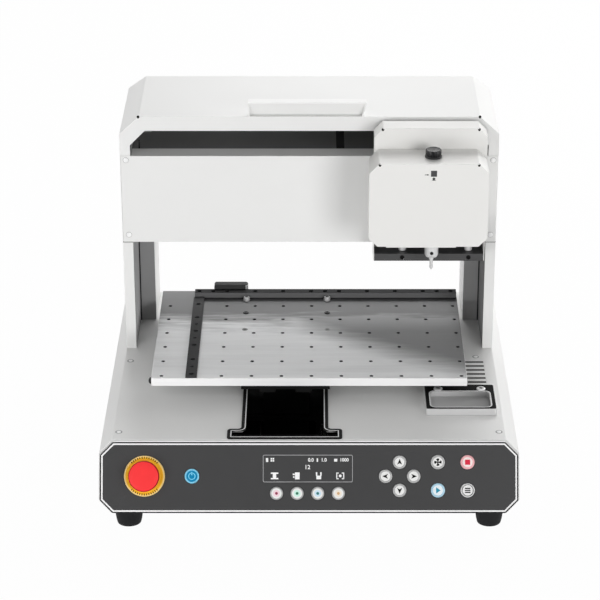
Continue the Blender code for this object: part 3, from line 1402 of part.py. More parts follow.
def make_y_drive():
    """Rails, motor and lead screw of the table's travel, in the pan."""
    length = Y_RAIL_REAR - Y_RAIL_FRONT
    for side, x in (("left", SLOT_X - Y_RAIL_OFFSET), ("right", SLOT_X + Y_RAIL_OFFSET)):
        rail = plate(rail_section(RAIL_WIDTH / 2, Y_RAIL_HEIGHT), length, axes=ALONG_Y)
        piece(f"y_rail_{side}", rail, STEEL, (x, FOOT_EDGE + Y_RAIL_FRONT, PAN_LEVEL + SHEET + GAP))
    end = FOOT_EDGE + PAN_REAR - SHEET - GAP
    backwards = ALONG_Y @ Matrix.Scale(-1, 4, (0, 0, 1))
    at = (Y_SCREW_X, end, y_screw_height())
    motor("y_motor", backwards, at)
    rear = end - MOTOR_LENGTH - MOTOR_PILOT_LENGTH - GAP
    front = FOOT_EDGE + PAN_FRONT + Y_SCREW_MARGIN
    mesh = turned([(0, 0), (SCREW_RADIUS, 0), (SCREW_RADIUS, rear - front), (0, rear - front)], COARSE)
    mesh.transform(ALONG_Y)
    piece("y_screw", mesh, STEEL, (Y_SCREW_X, front, y_screw_height()), smooth=True)


def y_carriage_section():
    """The table carriage's cross-section in XZ: a plate, two rail blocks and the screw's nut."""
    under = y_rail_top() + 2 * RUN
    top = under + Y_CARRIAGE_PLATE
    low = y_rail_top() - Y_BLOCK_LIP
    half = RAIL_WIDTH / 2 + RUN
    nut_low = y_screw_height() - Y_NUT_HALF
    left, right = (
        [
            (rail - Y_BLOCK_HALF, under),
            (rail - Y_BLOCK_HALF, low),
            (rail - half, low),
            (rail - half, under),
            (rail + half, under),
            (rail + half, low),
            (rail + Y_BLOCK_HALF, low),
            (rail + Y_BLOCK_HALF, under),
        ]
        for rail in (SLOT_X - Y_RAIL_OFFSET, SLOT_X + Y_RAIL_OFFSET)
    )
    nut = [
        (Y_SCREW_X - Y_NUT_HALF, under),
        (Y_SCREW_X - Y_NUT_HALF, nut_low),
        (Y_SCREW_X + Y_NUT_HALF, nut_low),
        (Y_SCREW_X + Y_NUT_HALF, under),
    ]
    above = [(right[-1][0], top), (left[0][0], top)]
    return above + left[1:] + nut + right[:-1]


def make_table_carriage(slide):
    """The carriage on its rails, with the well that the lift column stands in."""
    front = FOOT_EDGE + MAST_Y - Y_CARRIAGE_LENGTH / 2
    bore = circle(Y_SCREW_X, y_screw_height(), SCREW_RADIUS + RUN, COARSE)
    body = plate(y_carriage_section(), Y_CARRIAGE_LENGTH, [bore], ALONG_Y)
    carriage = piece("y_carriage", body, ANODISED, (0, front, 0), slide)
    middle = (SLOT_X, FOOT_EDGE + MAST_Y)
    inner = COLUMN_HALF_X + RUN, COLUMN_HALF_Y + RUN
    outer = inner[0] + WELL_WALL, inner[1] + WELL_WALL
    well = plate(rectangle(-outer[0], outer[0], -outer[1], outer[1]), WELL_TOP - WELL_BOTTOM)
    combine(carriage, helper("well", well, (*middle, WELL_BOTTOM)), "UNION")
    hollow = plate(rectangle(-inner[0], inner[0], -inner[1], inner[1]), WELL_TOP - WELL_BOTTOM)
    combine(carriage, helper("well_hollow", hollow, (*middle, WELL_BOTTOM + WELL_WALL)))


def make_lift(lift):
    """The lift column with the carrier plate on its head and two blocks under the plate's front."""
    level = TABLE_BOTTOM - GAP - CARRIER_THICK
    middle = (SLOT_X, FOOT_EDGE + MAST_Y)
    post = rectangle(-COLUMN_HALF_X, COLUMN_HALF_X, -COLUMN_HALF_Y, COLUMN_HALF_Y)
    height = level + CARRIER_THICK / 2 - COLUMN_FOOT
    column = piece("lift_column", plate(post, height), BLACK_PAINT, (*middle, COLUMN_FOOT), lift)
    half = CARRIER_HALF_WIDTH
    front, rear = FOOT_EDGE + TABLE_FRONT + CARRIER_FRONT_IN, FOOT_EDGE + TABLE_REAR - CARRIER_REAR_IN
    carrier = plate(rectangle(-half, half, front, rear), CARRIER_THICK)
    combine(column, helper("carrier", carrier, (SLOT_X, 0, level)), "UNION")
    for side, way in (("left", -1), ("right", 1)):
        centre = way * CARRIER_BLOCK_SPACING / 2
        reach = CARRIER_BLOCK_WIDTH / 2
        block = rectangle(centre - reach, centre + reach, front, front + CARRIER_BLOCK_DEPTH)
        mesh = plate(block, CARRIER_BLOCK_DROP + CARRIER_THICK / 2)
        under = (SLOT_X, 0, level - CARRIER_BLOCK_DROP)
        combine(column, helper(f"carrier_block_{side}", mesh, under), "UNION")


def make_table(lift):
    """The table plate with its grid of threaded holes."""
    front, rear = FOOT_EDGE + TABLE_FRONT, FOOT_EDGE + TABLE_REAR
    first_x = HOLE_LEFT - TABLE_HALF_WIDTH
    first_y = front + HOLE_FRONT
    grid = [
        circle(first_x + column * HOLE_PITCH_X, first_y + row * HOLE_PITCH_Y, HOLE_RADIUS, HOLE_SIDES)
        for column in range(HOLE_COLUMNS)
        for row in range(HOLE_ROWS)
    ]
    outline = rectangle(-TABLE_HALF_WIDTH, TABLE_HALF_WIDTH, front, rear)
    piece("table_plate", plate(outline, TABLE_THICK, grid), BRUSHED, (0, 0, TABLE_BOTTOM), lift)


def make_fences(lift):
    """The two fences on the table and the datum block behind the rear one."""
    level = TABLE_BOTTOM + TABLE_THICK + GAP
    half = SIDE_FENCE_WIDTH / 2
    front, rear = FOOT_EDGE + TABLE_FRONT + SIDE_FENCE_MARGIN, FOOT_EDGE + REAR_FENCE_FRONT - GAP
    strip = rectangle(SIDE_FENCE_X - half, SIDE_FENCE_X + half, front, rear)
    first, step = FOOT_EDGE + TABLE_FRONT + HOLE_FRONT, HOLE_PITCH_Y / 2
    holes = [
        circle(SIDE_FENCE_X, first + place * step, FENCE_HOLE_RADIUS, HOLE_SIDES)
        for place in range(SIDE_FENCE_HOLE_COUNT)
        if place not in SIDE_FENCE_PLAIN_HOLES and first + place * step < rear - half
    ]
    piece("left_fence", plate(strip, SIDE_FENCE_HEIGHT, holes), ANODISED, (0, 0, level), lift)
    low = FOOT_EDGE + REAR_FENCE_FRONT
    bar = rectangle(REAR_FENCE_LEFT, REAR_FENCE_RIGHT, low, low + REAR_FENCE_DEPTH)
    last = REAR_FENCE_RIGHT - REAR_FENCE_HOLE_END
    step = (last - SIDE_FENCE_X) / (REAR_FENCE_HOLE_COUNT - 1)
    holes = [
        circle(SIDE_FENCE_X + place * step, low + REAR_FENCE_DEPTH / 2, FENCE_HOLE_RADIUS, HOLE_SIDES)
        for place in range(REAR_FENCE_HOLE_COUNT)
        if place not in REAR_FENCE_PLAIN_HOLES
    ]
    piece("rear_fence", plate(bar, REAR_FENCE_HEIGHT, holes), ANODISED, (0, 0, level), lift)
    left = REAR_FENCE_LEFT + DATUM_IN
    end = rectangle(left, left + DATUM_WIDTH, level, level + DATUM_HEIGHT)
    face = filleted(end, DATUM_CORNER, sharp=(0, 1))
    behind = low + REAR_FENCE_DEPTH + GAP
    piece("datum_block", plate(face, DATUM_DEPTH, axes=ALONG_Y), ANODISED, (0, behind, 0), lift)


def clear_scene():
    for existing in list(bpy.data.objects):
        bpy.data.objects.remove(existing)


def main():
    clear_scene()
    make_base()
    make_floor()
    make_feet()
    make_panel()
    make_estop()
    make_slot_trim()
    make_tray()
    make_inlet()
    make_columns()
    make_beam()
    make_x_drive()
    make_beam_cover()
    make_hood()
    make_grip()
    travel = anchor("head_travel", (CARRIAGE_X, x_screw_y(), x_screw_height()))
    make_head(travel)
    make_feed_screw(travel)
    drop = anchor("head_drop", (z_screw_x(), FOOT_EDGE + ROD_Y, BLOCK_BOTTOM), travel)
    make_drop(drop)
    make_knob(drop)
    floating = anchor("quill_float", spindle_place(NOSE_BOTTOM), drop)
    make_quill(floating)
    make_spindle(anchor("spindle_turn", spindle_place(NOSE_BOTTOM), floating))
    make_y_drive()
    mast = (SLOT_X, FOOT_EDGE + MAST_Y, TABLE_BOTTOM)
    slide = anchor("table_slide", mast)
    make_table_carriage(slide)
    lift = anchor("table_lift", mast, slide)
    make_lift(lift)
    make_table(lift)
    make_fences(lift)


main()
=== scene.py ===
"""The dressed desktop engraving machine: finishes, edges, fasteners, icons and the studio stage.

Lengths are in metres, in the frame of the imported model: X along the gantry's beam, Y to the rear, Z up.
"""

import json
import math

import bmesh
import bpy
from bmesh.types import BMEdge, BMVert
from bpy.props import FloatProperty, FloatVectorProperty, IntProperty, PointerProperty
from mathutils import Matrix, Vector

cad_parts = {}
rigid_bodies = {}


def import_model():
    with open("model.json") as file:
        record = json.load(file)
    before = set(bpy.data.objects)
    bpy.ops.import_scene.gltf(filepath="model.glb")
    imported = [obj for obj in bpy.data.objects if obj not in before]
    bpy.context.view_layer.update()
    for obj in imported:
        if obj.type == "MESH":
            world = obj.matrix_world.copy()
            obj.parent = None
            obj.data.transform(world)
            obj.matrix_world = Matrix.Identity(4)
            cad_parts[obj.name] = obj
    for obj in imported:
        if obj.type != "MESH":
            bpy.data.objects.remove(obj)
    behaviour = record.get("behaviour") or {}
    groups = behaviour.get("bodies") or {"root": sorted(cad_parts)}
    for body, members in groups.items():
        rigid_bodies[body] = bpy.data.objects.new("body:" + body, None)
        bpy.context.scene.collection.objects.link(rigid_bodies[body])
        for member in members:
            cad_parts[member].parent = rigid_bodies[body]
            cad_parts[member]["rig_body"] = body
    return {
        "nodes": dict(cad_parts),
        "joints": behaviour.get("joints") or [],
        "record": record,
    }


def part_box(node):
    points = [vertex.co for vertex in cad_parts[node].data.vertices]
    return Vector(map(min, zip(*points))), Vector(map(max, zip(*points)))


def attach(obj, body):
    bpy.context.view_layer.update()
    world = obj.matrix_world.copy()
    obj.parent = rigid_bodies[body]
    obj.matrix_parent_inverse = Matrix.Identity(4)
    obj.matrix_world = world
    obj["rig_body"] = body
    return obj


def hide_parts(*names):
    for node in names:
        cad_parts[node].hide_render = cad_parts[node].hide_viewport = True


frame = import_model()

bl_info = {
    "name": "Desktop engraving machine",
    "version": (1, 0, 0),
    "blender": (4, 5, 0),
    "location": "3D View > Sidebar > Engraver",
    "description": "Dresses the packed model of a desktop engraving machine and sets its stage",
    "category": "Object",
}

NODES = frame["nodes"]
SLOTS = {row["node"]: row["material_slot"] for row in frame["record"]["subparts"]}
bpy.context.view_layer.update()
DOWN_INTO_PANEL = next(j["axis"] for j in frame["joints"] if j["name"] == "estop_push")

# The casing's length; places on it are measured from its front edge.
CASING_LENGTH = 0.513
FRONT_EDGE_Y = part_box("base_casing")[1].y - CASING_LENGTH
BASE_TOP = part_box("base_casing")[1].z

FULL_TURN = 2 * math.pi
# Points closer than this become one, and edges sharper than this are bevelled.
LEAST_WELD, BEVEL_FROM = 2e-6, math.radians(35)
# Facets round a screw's head, and the feet's width beside that of the CAD's.
HEAD_SIDES, FOOT_SHARE = 28, 1.06
# Vents: how many, the first one's place from the front edge, their step and their width.
VENTS, FIRST_VENT, VENT_STEP, VENT_WIDE = 7, 0.2020, 0.0125, 0.0050
# The panel's cut corners, and how much shorter their legs get for each metre of inset.
PANEL_CORNER, CORNER_SHRINK = 0.0165, 2 - math.sqrt(2)
STOP_TICKS, STOP_TICK_TURN = 13, math.radians(7.2)
UPRIGHT_SEAL_HEIGHT = 0.2850
# Heights of print and of raised signs, the caps' drop below their rings, and the figures' extra weight.
PRINT_HEIGHT, SIGN_HEIGHT, CAP_DROP, FIGURE_WEIGHT = 0.0001, 0.0002, 0.0005, 0.00016
TENTH_OF_MM = 0.0001

# Directions of the bands of painted light and shade.
ACROSS, TO_REAR, TO_REAR_RIGHT = (1, 0, 0), (0, 1, 0), (1, 1.5, 0)

# Lamps of the stage with their place and size; each has its power in EngraverStage.
LAMPS = {
    "front_right": ((1.6, -2.6, 0.8), 1.2),
    "low_left": ((-0.9, -1.4, 0.25), 0.6),
    "high_left": ((-0.8, -1.0, 1.2), 0.6),
    "top_rear": ((0.2, 2.0, 2.4), 1.6),
    "right_rear": ((2.0, 2.0, 1.3), 1.4),
    "left_rear": ((-2.0, 2.0, 1.3), 1.4),
}
LAMPS_AIM = Vector((0, 0, 0.25))
CAMERA_PLACE = (0.0051, -2.9716, 1.5743)
CAMERA_TILT = math.radians(65.6)
SENSOR_WIDTH = 36
CAMERA_SHIFT = -13 / 600
FLOOR_HALF = 14
FLOOR_GLOW = 1.0
FLOOR_WHITE_SHARE = 0.975


def from_front(distance):
    """World Y of a place that is measured from the casing's front edge."""
    return FRONT_EDGE_Y + distance


# Sizes, colours and stage values that a user would change


class EngraverFinish(bpy.types.PropertyGroup):
    """Colours of the machine's finishes."""

    powder: FloatVectorProperty(
        name="Powder coat", description="Warm white of the casing, hood and covers",
        subtype="COLOR", default=(0.86, 0.86, 0.85), min=0, max=1,
    )
    head_powder: FloatVectorProperty(
        name="Head powder coat", description="Slightly warmer white of the two head covers",
        subtype="COLOR", default=(0.85, 0.845, 0.825), min=0, max=1,
    )
    grey: FloatVectorProperty(
        name="Grey paint", description="Paint of the uprights behind the columns",
        subtype="COLOR", default=(0.34, 0.34, 0.342), min=0, max=1,
    )
    panel: FloatVectorProperty(
        name="Panel film", description="Dark grey film of the control panel",
        subtype="COLOR", default=(0.035, 0.035, 0.036), min=0, max=1,
    )
    anodised: FloatVectorProperty(
        name="Black anodising", description="Milled blocks of the drives",
        subtype="COLOR", default=(0.045, 0.045, 0.047), min=0, max=1,
    )
    stop_red: FloatVectorProperty(
        name="Stop red", description="Mushroom head of the emergency stop",
        subtype="COLOR", default=(0.98, 0.040, 0.044), min=0, max=1,
    )
    stop_yellow: FloatVectorProperty(
        name="Stop yellow", description="Ring round the emergency stop",
        subtype="COLOR", default=(1.0, 0.587, 0.03), min=0, max=1,
    )
    signal_blue: FloatVectorProperty(
        name="Signal blue", description="Cap of the power button",
        subtype="COLOR", default=(0.006, 0.241, 0.468), min=0, max=1,
    )


class EngraverDetail(bpy.types.PropertyGroup):
    """Sizes of the edges, fasteners and threads."""

    edge: FloatProperty(
        name="Sheet edge", description="Rounding of the sheet's cut edges",
        unit="LENGTH", default=0.0004, min=0.0001, max=0.001,
    )
    block_edge: FloatProperty(
        name="Block edge", description="Chamfer of milled blocks and plates",
        unit="LENGTH", default=0.0005, min=0.0001, max=0.002,
    )
    hole_sides: IntProperty(
        name="Hole sides", description="Facets round each hole of the table", default=20, min=8, max=48
    )
    turned_sides: IntProperty(
        name="Turned sides", description="Facets round a turned piece", default=64, min=24, max=128
    )
    thread_pitch: FloatProperty(
        name="Thread pitch", description="Pitch of the lead screws' visible thread",
        unit="LENGTH", default=0.004, min=0.002, max=0.01,
    )


class EngraverStage(bpy.types.PropertyGroup):
    """Lamps and camera of the studio stage."""

    front_right: FloatProperty(
        name="Front right lamp", description="Soft lamp in front on the right", subtype="POWER", default=35.7
    )
    low_left: FloatProperty(
        name="Low left lamp", description="Small near lamp, low on the left", subtype="POWER", default=6.2
    )
    high_left: FloatProperty(
        name="High left lamp", description="Small near lamp, high on the left", subtype="POWER", default=2.8
    )
    top_rear: FloatProperty(
        name="Top rear lamp", description="High soft lamp behind the gantry", subtype="POWER", default=41.4
    )
    right_rear: FloatProperty(
        name="Right rear lamp", description="Soft lamp behind on the right", subtype="POWER", default=28.1
    )
    left_rear: FloatProperty(
        name="Left rear lamp", description="Soft lamp behind on the left", subtype="POWER", default=8.8
    )
    dome: FloatProperty(name="Dome", description="Light of the surroundings on the object", default=0.22)
    lens: FloatProperty(name="Lens", description="Focal length in millimetres", default=144)


# Meshes


def disc(mesh, radius, sides, at=(0, 0, 0), fill=False):
    """A circle's vertices in a bmesh."""
    return bmesh.ops.create_circle(
        mesh, cap_ends=fill, radius=radius, segments=sides, matrix=Matrix.Translation(at)
    )["verts"]


def loop(mesh, points):
    """A closed loop of edges through a few points."""
    verts = [mesh.verts.new((*point, 0)) for point in points]
    return [mesh.edges.new((a, b)) for a, b in zip(verts, verts[1:] + verts[:1])]


def polygon(points, rounding=0.0, segments=4):
    """A flat face through a few points, its corners rounded."""
    mesh = bmesh.new()
    mesh.faces.new([mesh.verts.new((*point, 0)) for point in points])
    mesh.normal_update()
    if rounding:
        bmesh.ops.bevel(
            mesh, geom=mesh.verts[:], offset=rounding, offset_type="OFFSET", segments=segments,
            profile=0.5, affect="VERTICES", material=-1,
        )
        mesh.normal_update()
    return mesh


def only(kind, geometry):
    """The vertices or the edges among mixed geometry."""
    return [item for item in geometry if isinstance(item, kind)]


def raised(mesh, height):
    """A flat bmesh made solid, from zero to a height."""
    new = bmesh.ops.extrude_face_region(mesh, geom=mesh.faces[:], use_keep_orig=True)["geom"]
    bmesh.ops.translate(mesh, vec=(0, 0, height), verts=only(BMVert, new))
    bmesh.ops.recalc_face_normals(mesh, faces=mesh.faces[:])
    return mesh


def block(low, high):
    """A box between two corners."""
    mesh = bmesh.new()
    low, high = Vector(low), Vector(high)
    size = Matrix.Diagonal((*(high - low), 1))
    bmesh.ops.create_cube(mesh, size=1, matrix=Matrix.Translation((low + high) / 2) @ size)
    return mesh


def rectangle(left, right, low, high):
    return [(left, low), (right, low), (right, high), (left, high)]


def line_of(mesh, width, height):
    """A flat bmesh with only a raised line left along its rim."""
    inner = mesh.faces[:]
    bmesh.ops.inset_region(mesh, faces=inner, thickness=width, use_even_offset=True, use_boundary=True)
    bmesh.ops.delete(mesh, geom=inner, context="FACES_ONLY")
    return raised(mesh, height)


def line_frame(points, width, height, rounding=0.0):
    """A thin raised line that follows an outline on its inner side."""
    return line_of(polygon(points, rounding), width, height)


def flat_ring(outer, inner, height, sides=40):
    """A flat ring made solid."""
    mesh = bmesh.new()
    disc(mesh, outer, sides)
    disc(mesh, inner, sides)
    bmesh.ops.bridge_loops(mesh, edges=mesh.edges[:])
    return raised(mesh, height)


def flat_disc(radius, height, sides=24):
    mesh = bmesh.new()
    disc(mesh, radius, sides, fill=True)
    return raised(mesh, height)


def pierced_bar(node, holes):
    """A CAD node's box with round holes from above, each (radius, x, y)."""
    low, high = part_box(node)
    mesh = bmesh.new()
    loop(mesh, rectangle(low.x, high.x, low.y, high.y))
    for radius, x, y in holes:
        disc(mesh, radius, detail().hole_sides, (x, y, 0))
    bmesh.ops.triangle_fill(mesh, use_beauty=True, edges=mesh.edges[:])
    raised(mesh, high.z - low.z)
    mesh.transform(shift(z=low.z))
    return mesh


def plate(wide, tall, height, rounding=0.0):
    """A small flat bar, centred on zero."""
    return raised(polygon(rectangle(-wide / 2, wide / 2, -tall / 2, tall / 2), rounding), height)


def spun(profile, sides):
    """A turned solid about Z from (radius, height) points that start and end on the axis."""
    mesh = bmesh.new()
    verts = [mesh.verts.new((radius, 0, height)) for radius, height in profile]
    edges = [mesh.edges.new(pair) for pair in zip(verts, verts[1:])]
    bmesh.ops.spin(
        mesh, geom=verts + edges, axis=(0, 0, 1), cent=(0, 0, 0), steps=sides,
        angle=FULL_TURN, use_merge=True, use_duplicate=False,
    )
    return mesh


def joined(parts):
    """Several bmeshes as one, each given alone or with its place; the parts are freed."""
    whole = bmesh.new()
    for part in parts:
        mesh, place = part if isinstance(part, tuple) else (part, Matrix.Identity(4))
        mesh.transform(place)
        data = bpy.data.meshes.new("part")
        mesh.to_mesh(data)
        mesh.free()
        whole.from_mesh(data)
        bpy.data.meshes.remove(data)
    return whole


def repeated(places, maker, *sizes):
    """The same small part at several places, as one bmesh."""
    return joined([(maker(*sizes), place) for place in places])


def shift(x=0.0, y=0.0, z=0.0):
    return Matrix.Translation((x, y, z))


FACING_FRONT = Matrix.Rotation(math.pi / 2, 4, "X")
FACING_REAR = Matrix.Rotation(-math.pi / 2, 4, "X")
FACING_LEFT = Matrix.Rotation(-math.pi / 2, 4, "Y")
FACING_RIGHT = Matrix.Rotation(math.pi / 2, 4, "Y")


def socket_head(radius, height, key=0.5):
    """A round screw head on zero, with a hexagon socket in its top."""
    wall, depth, crown_share = 0.55, 0.6, 0.78
    mesh = bmesh.new()
    disc(mesh, radius, HEAD_SIDES)
    shell = bmesh.ops.extrude_edge_only(mesh, edges=mesh.edges[:])["geom"]
    bmesh.ops.translate(mesh, vec=(0, 0, height * wall), verts=only(BMVert, shell))
    crown = bmesh.ops.extrude_edge_only(mesh, edges=only(BMEdge, shell))["geom"]
    bmesh.ops.scale(mesh, vec=(crown_share, crown_share, 1), verts=only(BMVert, crown))
    bmesh.ops.translate(mesh, vec=(0, 0, height * (1 - wall)), verts=only(BMVert, crown))
    hexagon = list({e for v in disc(mesh, radius * key, 6, (0, 0, height)) for e in v.link_edges})
    bmesh.ops.bridge_loops(mesh, edges=only(BMEdge, crown) + hexagon)
    floor = bmesh.ops.extrude_edge_only(mesh, edges=hexagon)["geom"]
    bmesh.ops.translate(mesh, vec=(0, 0, -height * depth), verts=only(BMVert, floor))
    bmesh.ops.holes_fill(mesh, edges=[e for e in mesh.edges if e.is_boundary], sides=0)
    return mesh


def dome_head(radius, height):
    """A plain domed head on zero."""
    steps, flank = 6, 0.25
    profile = [(0, 0), (radius, 0)]
    for step in range(steps):
        turn = step * math.pi / (2 * steps)
        profile.append((radius * math.cos(turn), height * (flank + (1 - flank) * math.sin(turn))))
    return spun(profile + [(0, height)], HEAD_SIDES)


def threaded(radius, depth, pitch, length, sides=16):
    """A threaded rod from zero along Z: one tooth spun into a helix and cut square at both ends."""
    mesh = bmesh.new()
    tooth = [(radius - depth, 0), (radius, 0.2), (radius, 0.5), (radius - depth, 0.7), (radius - depth, 1)]
    verts = [mesh.verts.new((r, 0, (share - 1) * pitch)) for r, share in tooth]
    edges = [mesh.edges.new(pair) for pair in zip(verts, verts[1:])]
    turns = math.ceil(length / pitch) + 2
    bmesh.ops.spin(
        mesh, geom=verts + edges, axis=(0, 0, 1), cent=(0, 0, 0), dvec=(0, 0, pitch / sides),
        steps=sides * turns, angle=FULL_TURN * turns, use_duplicate=False,
    )
    bmesh.ops.remove_doubles(mesh, verts=mesh.verts[:], dist=pitch / 100)
    for height, way in ((0, -1), (length, 1)):
        everything = mesh.verts[:] + mesh.edges[:] + mesh.faces[:]
        bmesh.ops.bisect_plane(
            mesh, geom=everything, plane_co=(0, 0, height), plane_no=(0, 0, way), clear_outer=True
        )
    bmesh.ops.holes_fill(mesh, edges=[e for e in mesh.edges if e.is_boundary], sides=0)
    return mesh


# Pieces


def as_piece(name, mesh, finishes, body, slot, place=None, smooth=30):
    """The bmesh as a finished piece, moved to a place, that rides on a body and takes the given finishes;
    the slot is not used.
    """
    if place:
        mesh.transform(place)
    bmesh.ops.remove_doubles(mesh, verts=mesh.verts[:], dist=LEAST_WELD)
    bmesh.ops.recalc_face_normals(mesh, faces=mesh.faces[:])
    if mesh.calc_volume(signed=True) < 0:
        bmesh.ops.reverse_faces(mesh, faces=mesh.faces[:])
    data = bpy.data.meshes.new(name)
    mesh.to_mesh(data)
    mesh.free()
    data.shade_smooth()
    data.set_sharp_from_angle(angle=math.radians(smooth))
    made = bpy.data.objects.new(name, data)
    bpy.context.scene.collection.objects.link(made)
    for each in [finishes] if isinstance(finishes, str) else finishes:
        data.materials.append(finish(each))
    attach(made, body)
    return made


def in_place_of(node, mesh, finishes, smooth=30):
    """A piece that stands for a CAD node, on its body."""
    made = as_piece(node + "_made", mesh, finishes, NODES[node]["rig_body"], SLOTS[node], smooth=smooth)
    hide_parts(node)
    return made


def rounded_edges(made, width, segments=2, whole=True):
    """Bevels the sharp edges; where flat faces are cut up, weighted normals keep them flat instead."""
    bevel = made.modifiers.new("edges", "BEVEL")
    bevel.width = width
    bevel.segments = segments
    bevel.limit_method = "ANGLE"
    bevel.angle_limit = BEVEL_FROM
    bevel.harden_normals = whole
    bevel.miter_outer = "MITER_ARC"
    if not whole:
        flat = made.modifiers.new("flat_faces", "WEIGHTED_NORMAL")
        flat.mode = "FACE_AREA_WITH_ANGLE"
        flat.weight = 100
        flat.keep_sharp = True


def refined(node, finish_name, width, segments=2, whole=True, other=None):
    """A copy of a CAD node with rounded edges, shown in its place.

    Flat faces without holes are made whole first. A second finish goes on the faces that a rule picks.
    """
    mesh = bmesh.new()
    mesh.from_mesh(NODES[node].data)
    bmesh.ops.remove_doubles(mesh, verts=mesh.verts[:], dist=LEAST_WELD)
    if whole:
        bmesh.ops.dissolve_limit(mesh, angle_limit=math.radians(1), verts=mesh.verts[:], edges=mesh.edges[:])
    finishes = [finish_name]
    if other:
        finishes.append(other[0])
        for face in mesh.faces:
            face.material_index = int(other[1](face))
    rounded_edges(in_place_of(node, mesh, finishes), width, segments, whole)


def turned(node, profile, place, finishes, sides=0):
    """A turned piece that stands for a CAD node."""
    mesh = spun(profile, sides or detail().turned_sides)
    mesh.transform(place)
    return in_place_of(node, mesh, finishes)


def middle(node):
    low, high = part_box(node)
    return (low + high) / 2


def at_foot(node):
    """The place in the middle of a node's lower end."""
    return shift(middle(node).x, middle(node).y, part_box(node)[0].z)


# The control panel's own frame


def reach_in(place, node):
    """(lowest, highest) of a CAD node in a frame."""
    back = place.inverted()
    spots = [back @ v.co for v in NODES[node].data.vertices]
    return Vector([min(values) for values in zip(*spots)]), Vector([max(values) for values in zip(*spots)])


def panel_frame():
    """Matrix from the panel's plane, X right, Y up and Z outwards from its face, to the world."""
    out = -Vector(DOWN_INTO_PANEL).normalized()
    across = Vector((1, 0, 0))
    axes = Matrix((across, out.cross(across), out)).transposed().to_4x4()
    low, high = reach_in(axes, "front_panel")
    return axes @ shift((low.x + high.x) / 2, (low.y + high.y) / 2, high.z)


PANEL = panel_frame()


def on_panel(node):
    return reach_in(PANEL, node)


# Shared effects

FLOAT, COLOUR, VECTOR = "NodeSocketFloat", "NodeSocketColor", "NodeSocketVector"


def node_group(name, inputs, outputs):
    """A shader node group with named sockets, and its input and output nodes."""
    tree = bpy.data.node_groups.new(name, "ShaderNodeTree")
    for label, kind, value in inputs:
        tree.interface.new_socket(label, in_out="INPUT", socket_type=kind).default_value = value
    for label, kind in outputs:
        tree.interface.new_socket(label, in_out="OUTPUT", socket_type=kind)
    return tree, tree.nodes.new("NodeGroupInput"), tree.nodes.new("NodeGroupOutput")


def add_node(tree, kind, links=(), **values):
    """A node with attributes set, and links given as (socket of the new node, source socket or value)."""
    node = tree.nodes.new(kind)
    for name, value in values.items():
        setattr(node, name, value)
    for into, source in links:
        if isinstance(source, bpy.types.NodeSocket):
            tree.links.new(source, node.inputs[into])
        else:
            node.inputs[into].default_value = source
    return node


def calculation(tree, operation, first, second=0.5, clamp=False):
    return add_node(
        tree, "ShaderNodeMath", ((0, first), (1, second)), operation=operation, use_clamp=clamp
    ).outputs[0]


def vectors(tree, operation, *links):
    """The node of a calculation with vectors."""
    return add_node(tree, "ShaderNodeVectorMath", links, operation=operation)


def object_noise(tree, scale, detail=2.0, stretch=(1, 1, 1), roughness=0.5):
    """Noise on Object coordinates, which may be stretched."""
    where = add_node(tree, "ShaderNodeTexCoord").outputs["Object"]
    where = vectors(tree, "MULTIPLY", (0, where), (1, stretch)).outputs[0]
    links = ("Vector", where), ("Scale", scale), ("Detail", detail), ("Roughness", roughness)
    return add_node(tree, "ShaderNodeTexNoise", links).outputs["Fac"]


def surface_group(name, **inputs):
    """A node group with a surface's colour, roughness and height for the bump as its outputs."""
    given = [("Colour", COLOUR, (0.5, 0.5, 0.5, 1)), ("Base Roughness", FLOAT, 0.4)]
    given += [(label, FLOAT, value) for label, value in inputs.items()]
    return node_group(name, given, [("Colour", COLOUR), ("Roughness", FLOAT), ("Height", FLOAT)])


def give_surface(tree, given, out, tone, contrast, unevenness, height):
    """A noise makes the colour lighter and darker round itself and the roughness uneven."""
    spread = calculation(tree, "SUBTRACT", tone, 0.5)
    gain = calculation(tree, "ADD", calculation(tree, "MULTIPLY", spread, contrast), 1.0)
    colour = vectors(tree, "SCALE", (0, given.outputs["Colour"]), ("Scale", gain)).outputs[0]
    uneven = calculation(tree, "MULTIPLY", spread, unevenness)
    rough = calculation(tree, "ADD", given.outputs["Base Roughness"], uneven)
    for label, source in (("Colour", colour), ("Roughness", rough), ("Height", height)):
        tree.links.new(source, out.inputs[label])
    return tree


def powder_coat_group():
    """Fine orange peel and faint clouding of a powder-coated sheet."""
    tree, given, out = surface_group("powder_coat", Clouding=0.03)
    peel = object_noise(tree, 900.0)
    cloud = object_noise(tree, 9.0, 3.0)
    return give_surface(tree, given, out, cloud, given.outputs["Clouding"], 0.12, peel)


def brushed_group():
    """Long fine scratches along X, and broad bands of tone."""
    tree, given, out = surface_group("brushed", Contrast=0.2)
    fine = object_noise(tree, 1.0, 6.0, (9.0, 900.0, 900.0), 0.65)
    band = object_noise(tree, 1.0, 4.0, (5.0, 60.0, 60.0), 0.6)
    both = calculation(tree, "MULTIPLY", calculation(tree, "ADD", fine, band), 0.5)
    return give_surface(tree, given, out, both, given.outputs["Contrast"], 0.35, fine)


def moulded_group():
    """The fine spark-eroded texture of moulded plastic and rubber."""
    tree, given, out = surface_group("moulded")
    pits = object_noise(tree, 1500.0, 1.0)
    smudge = object_noise(tree, 45.0, 3.0)
    return give_surface(tree, given, out, smudge, 0.12, 0.2, pits)


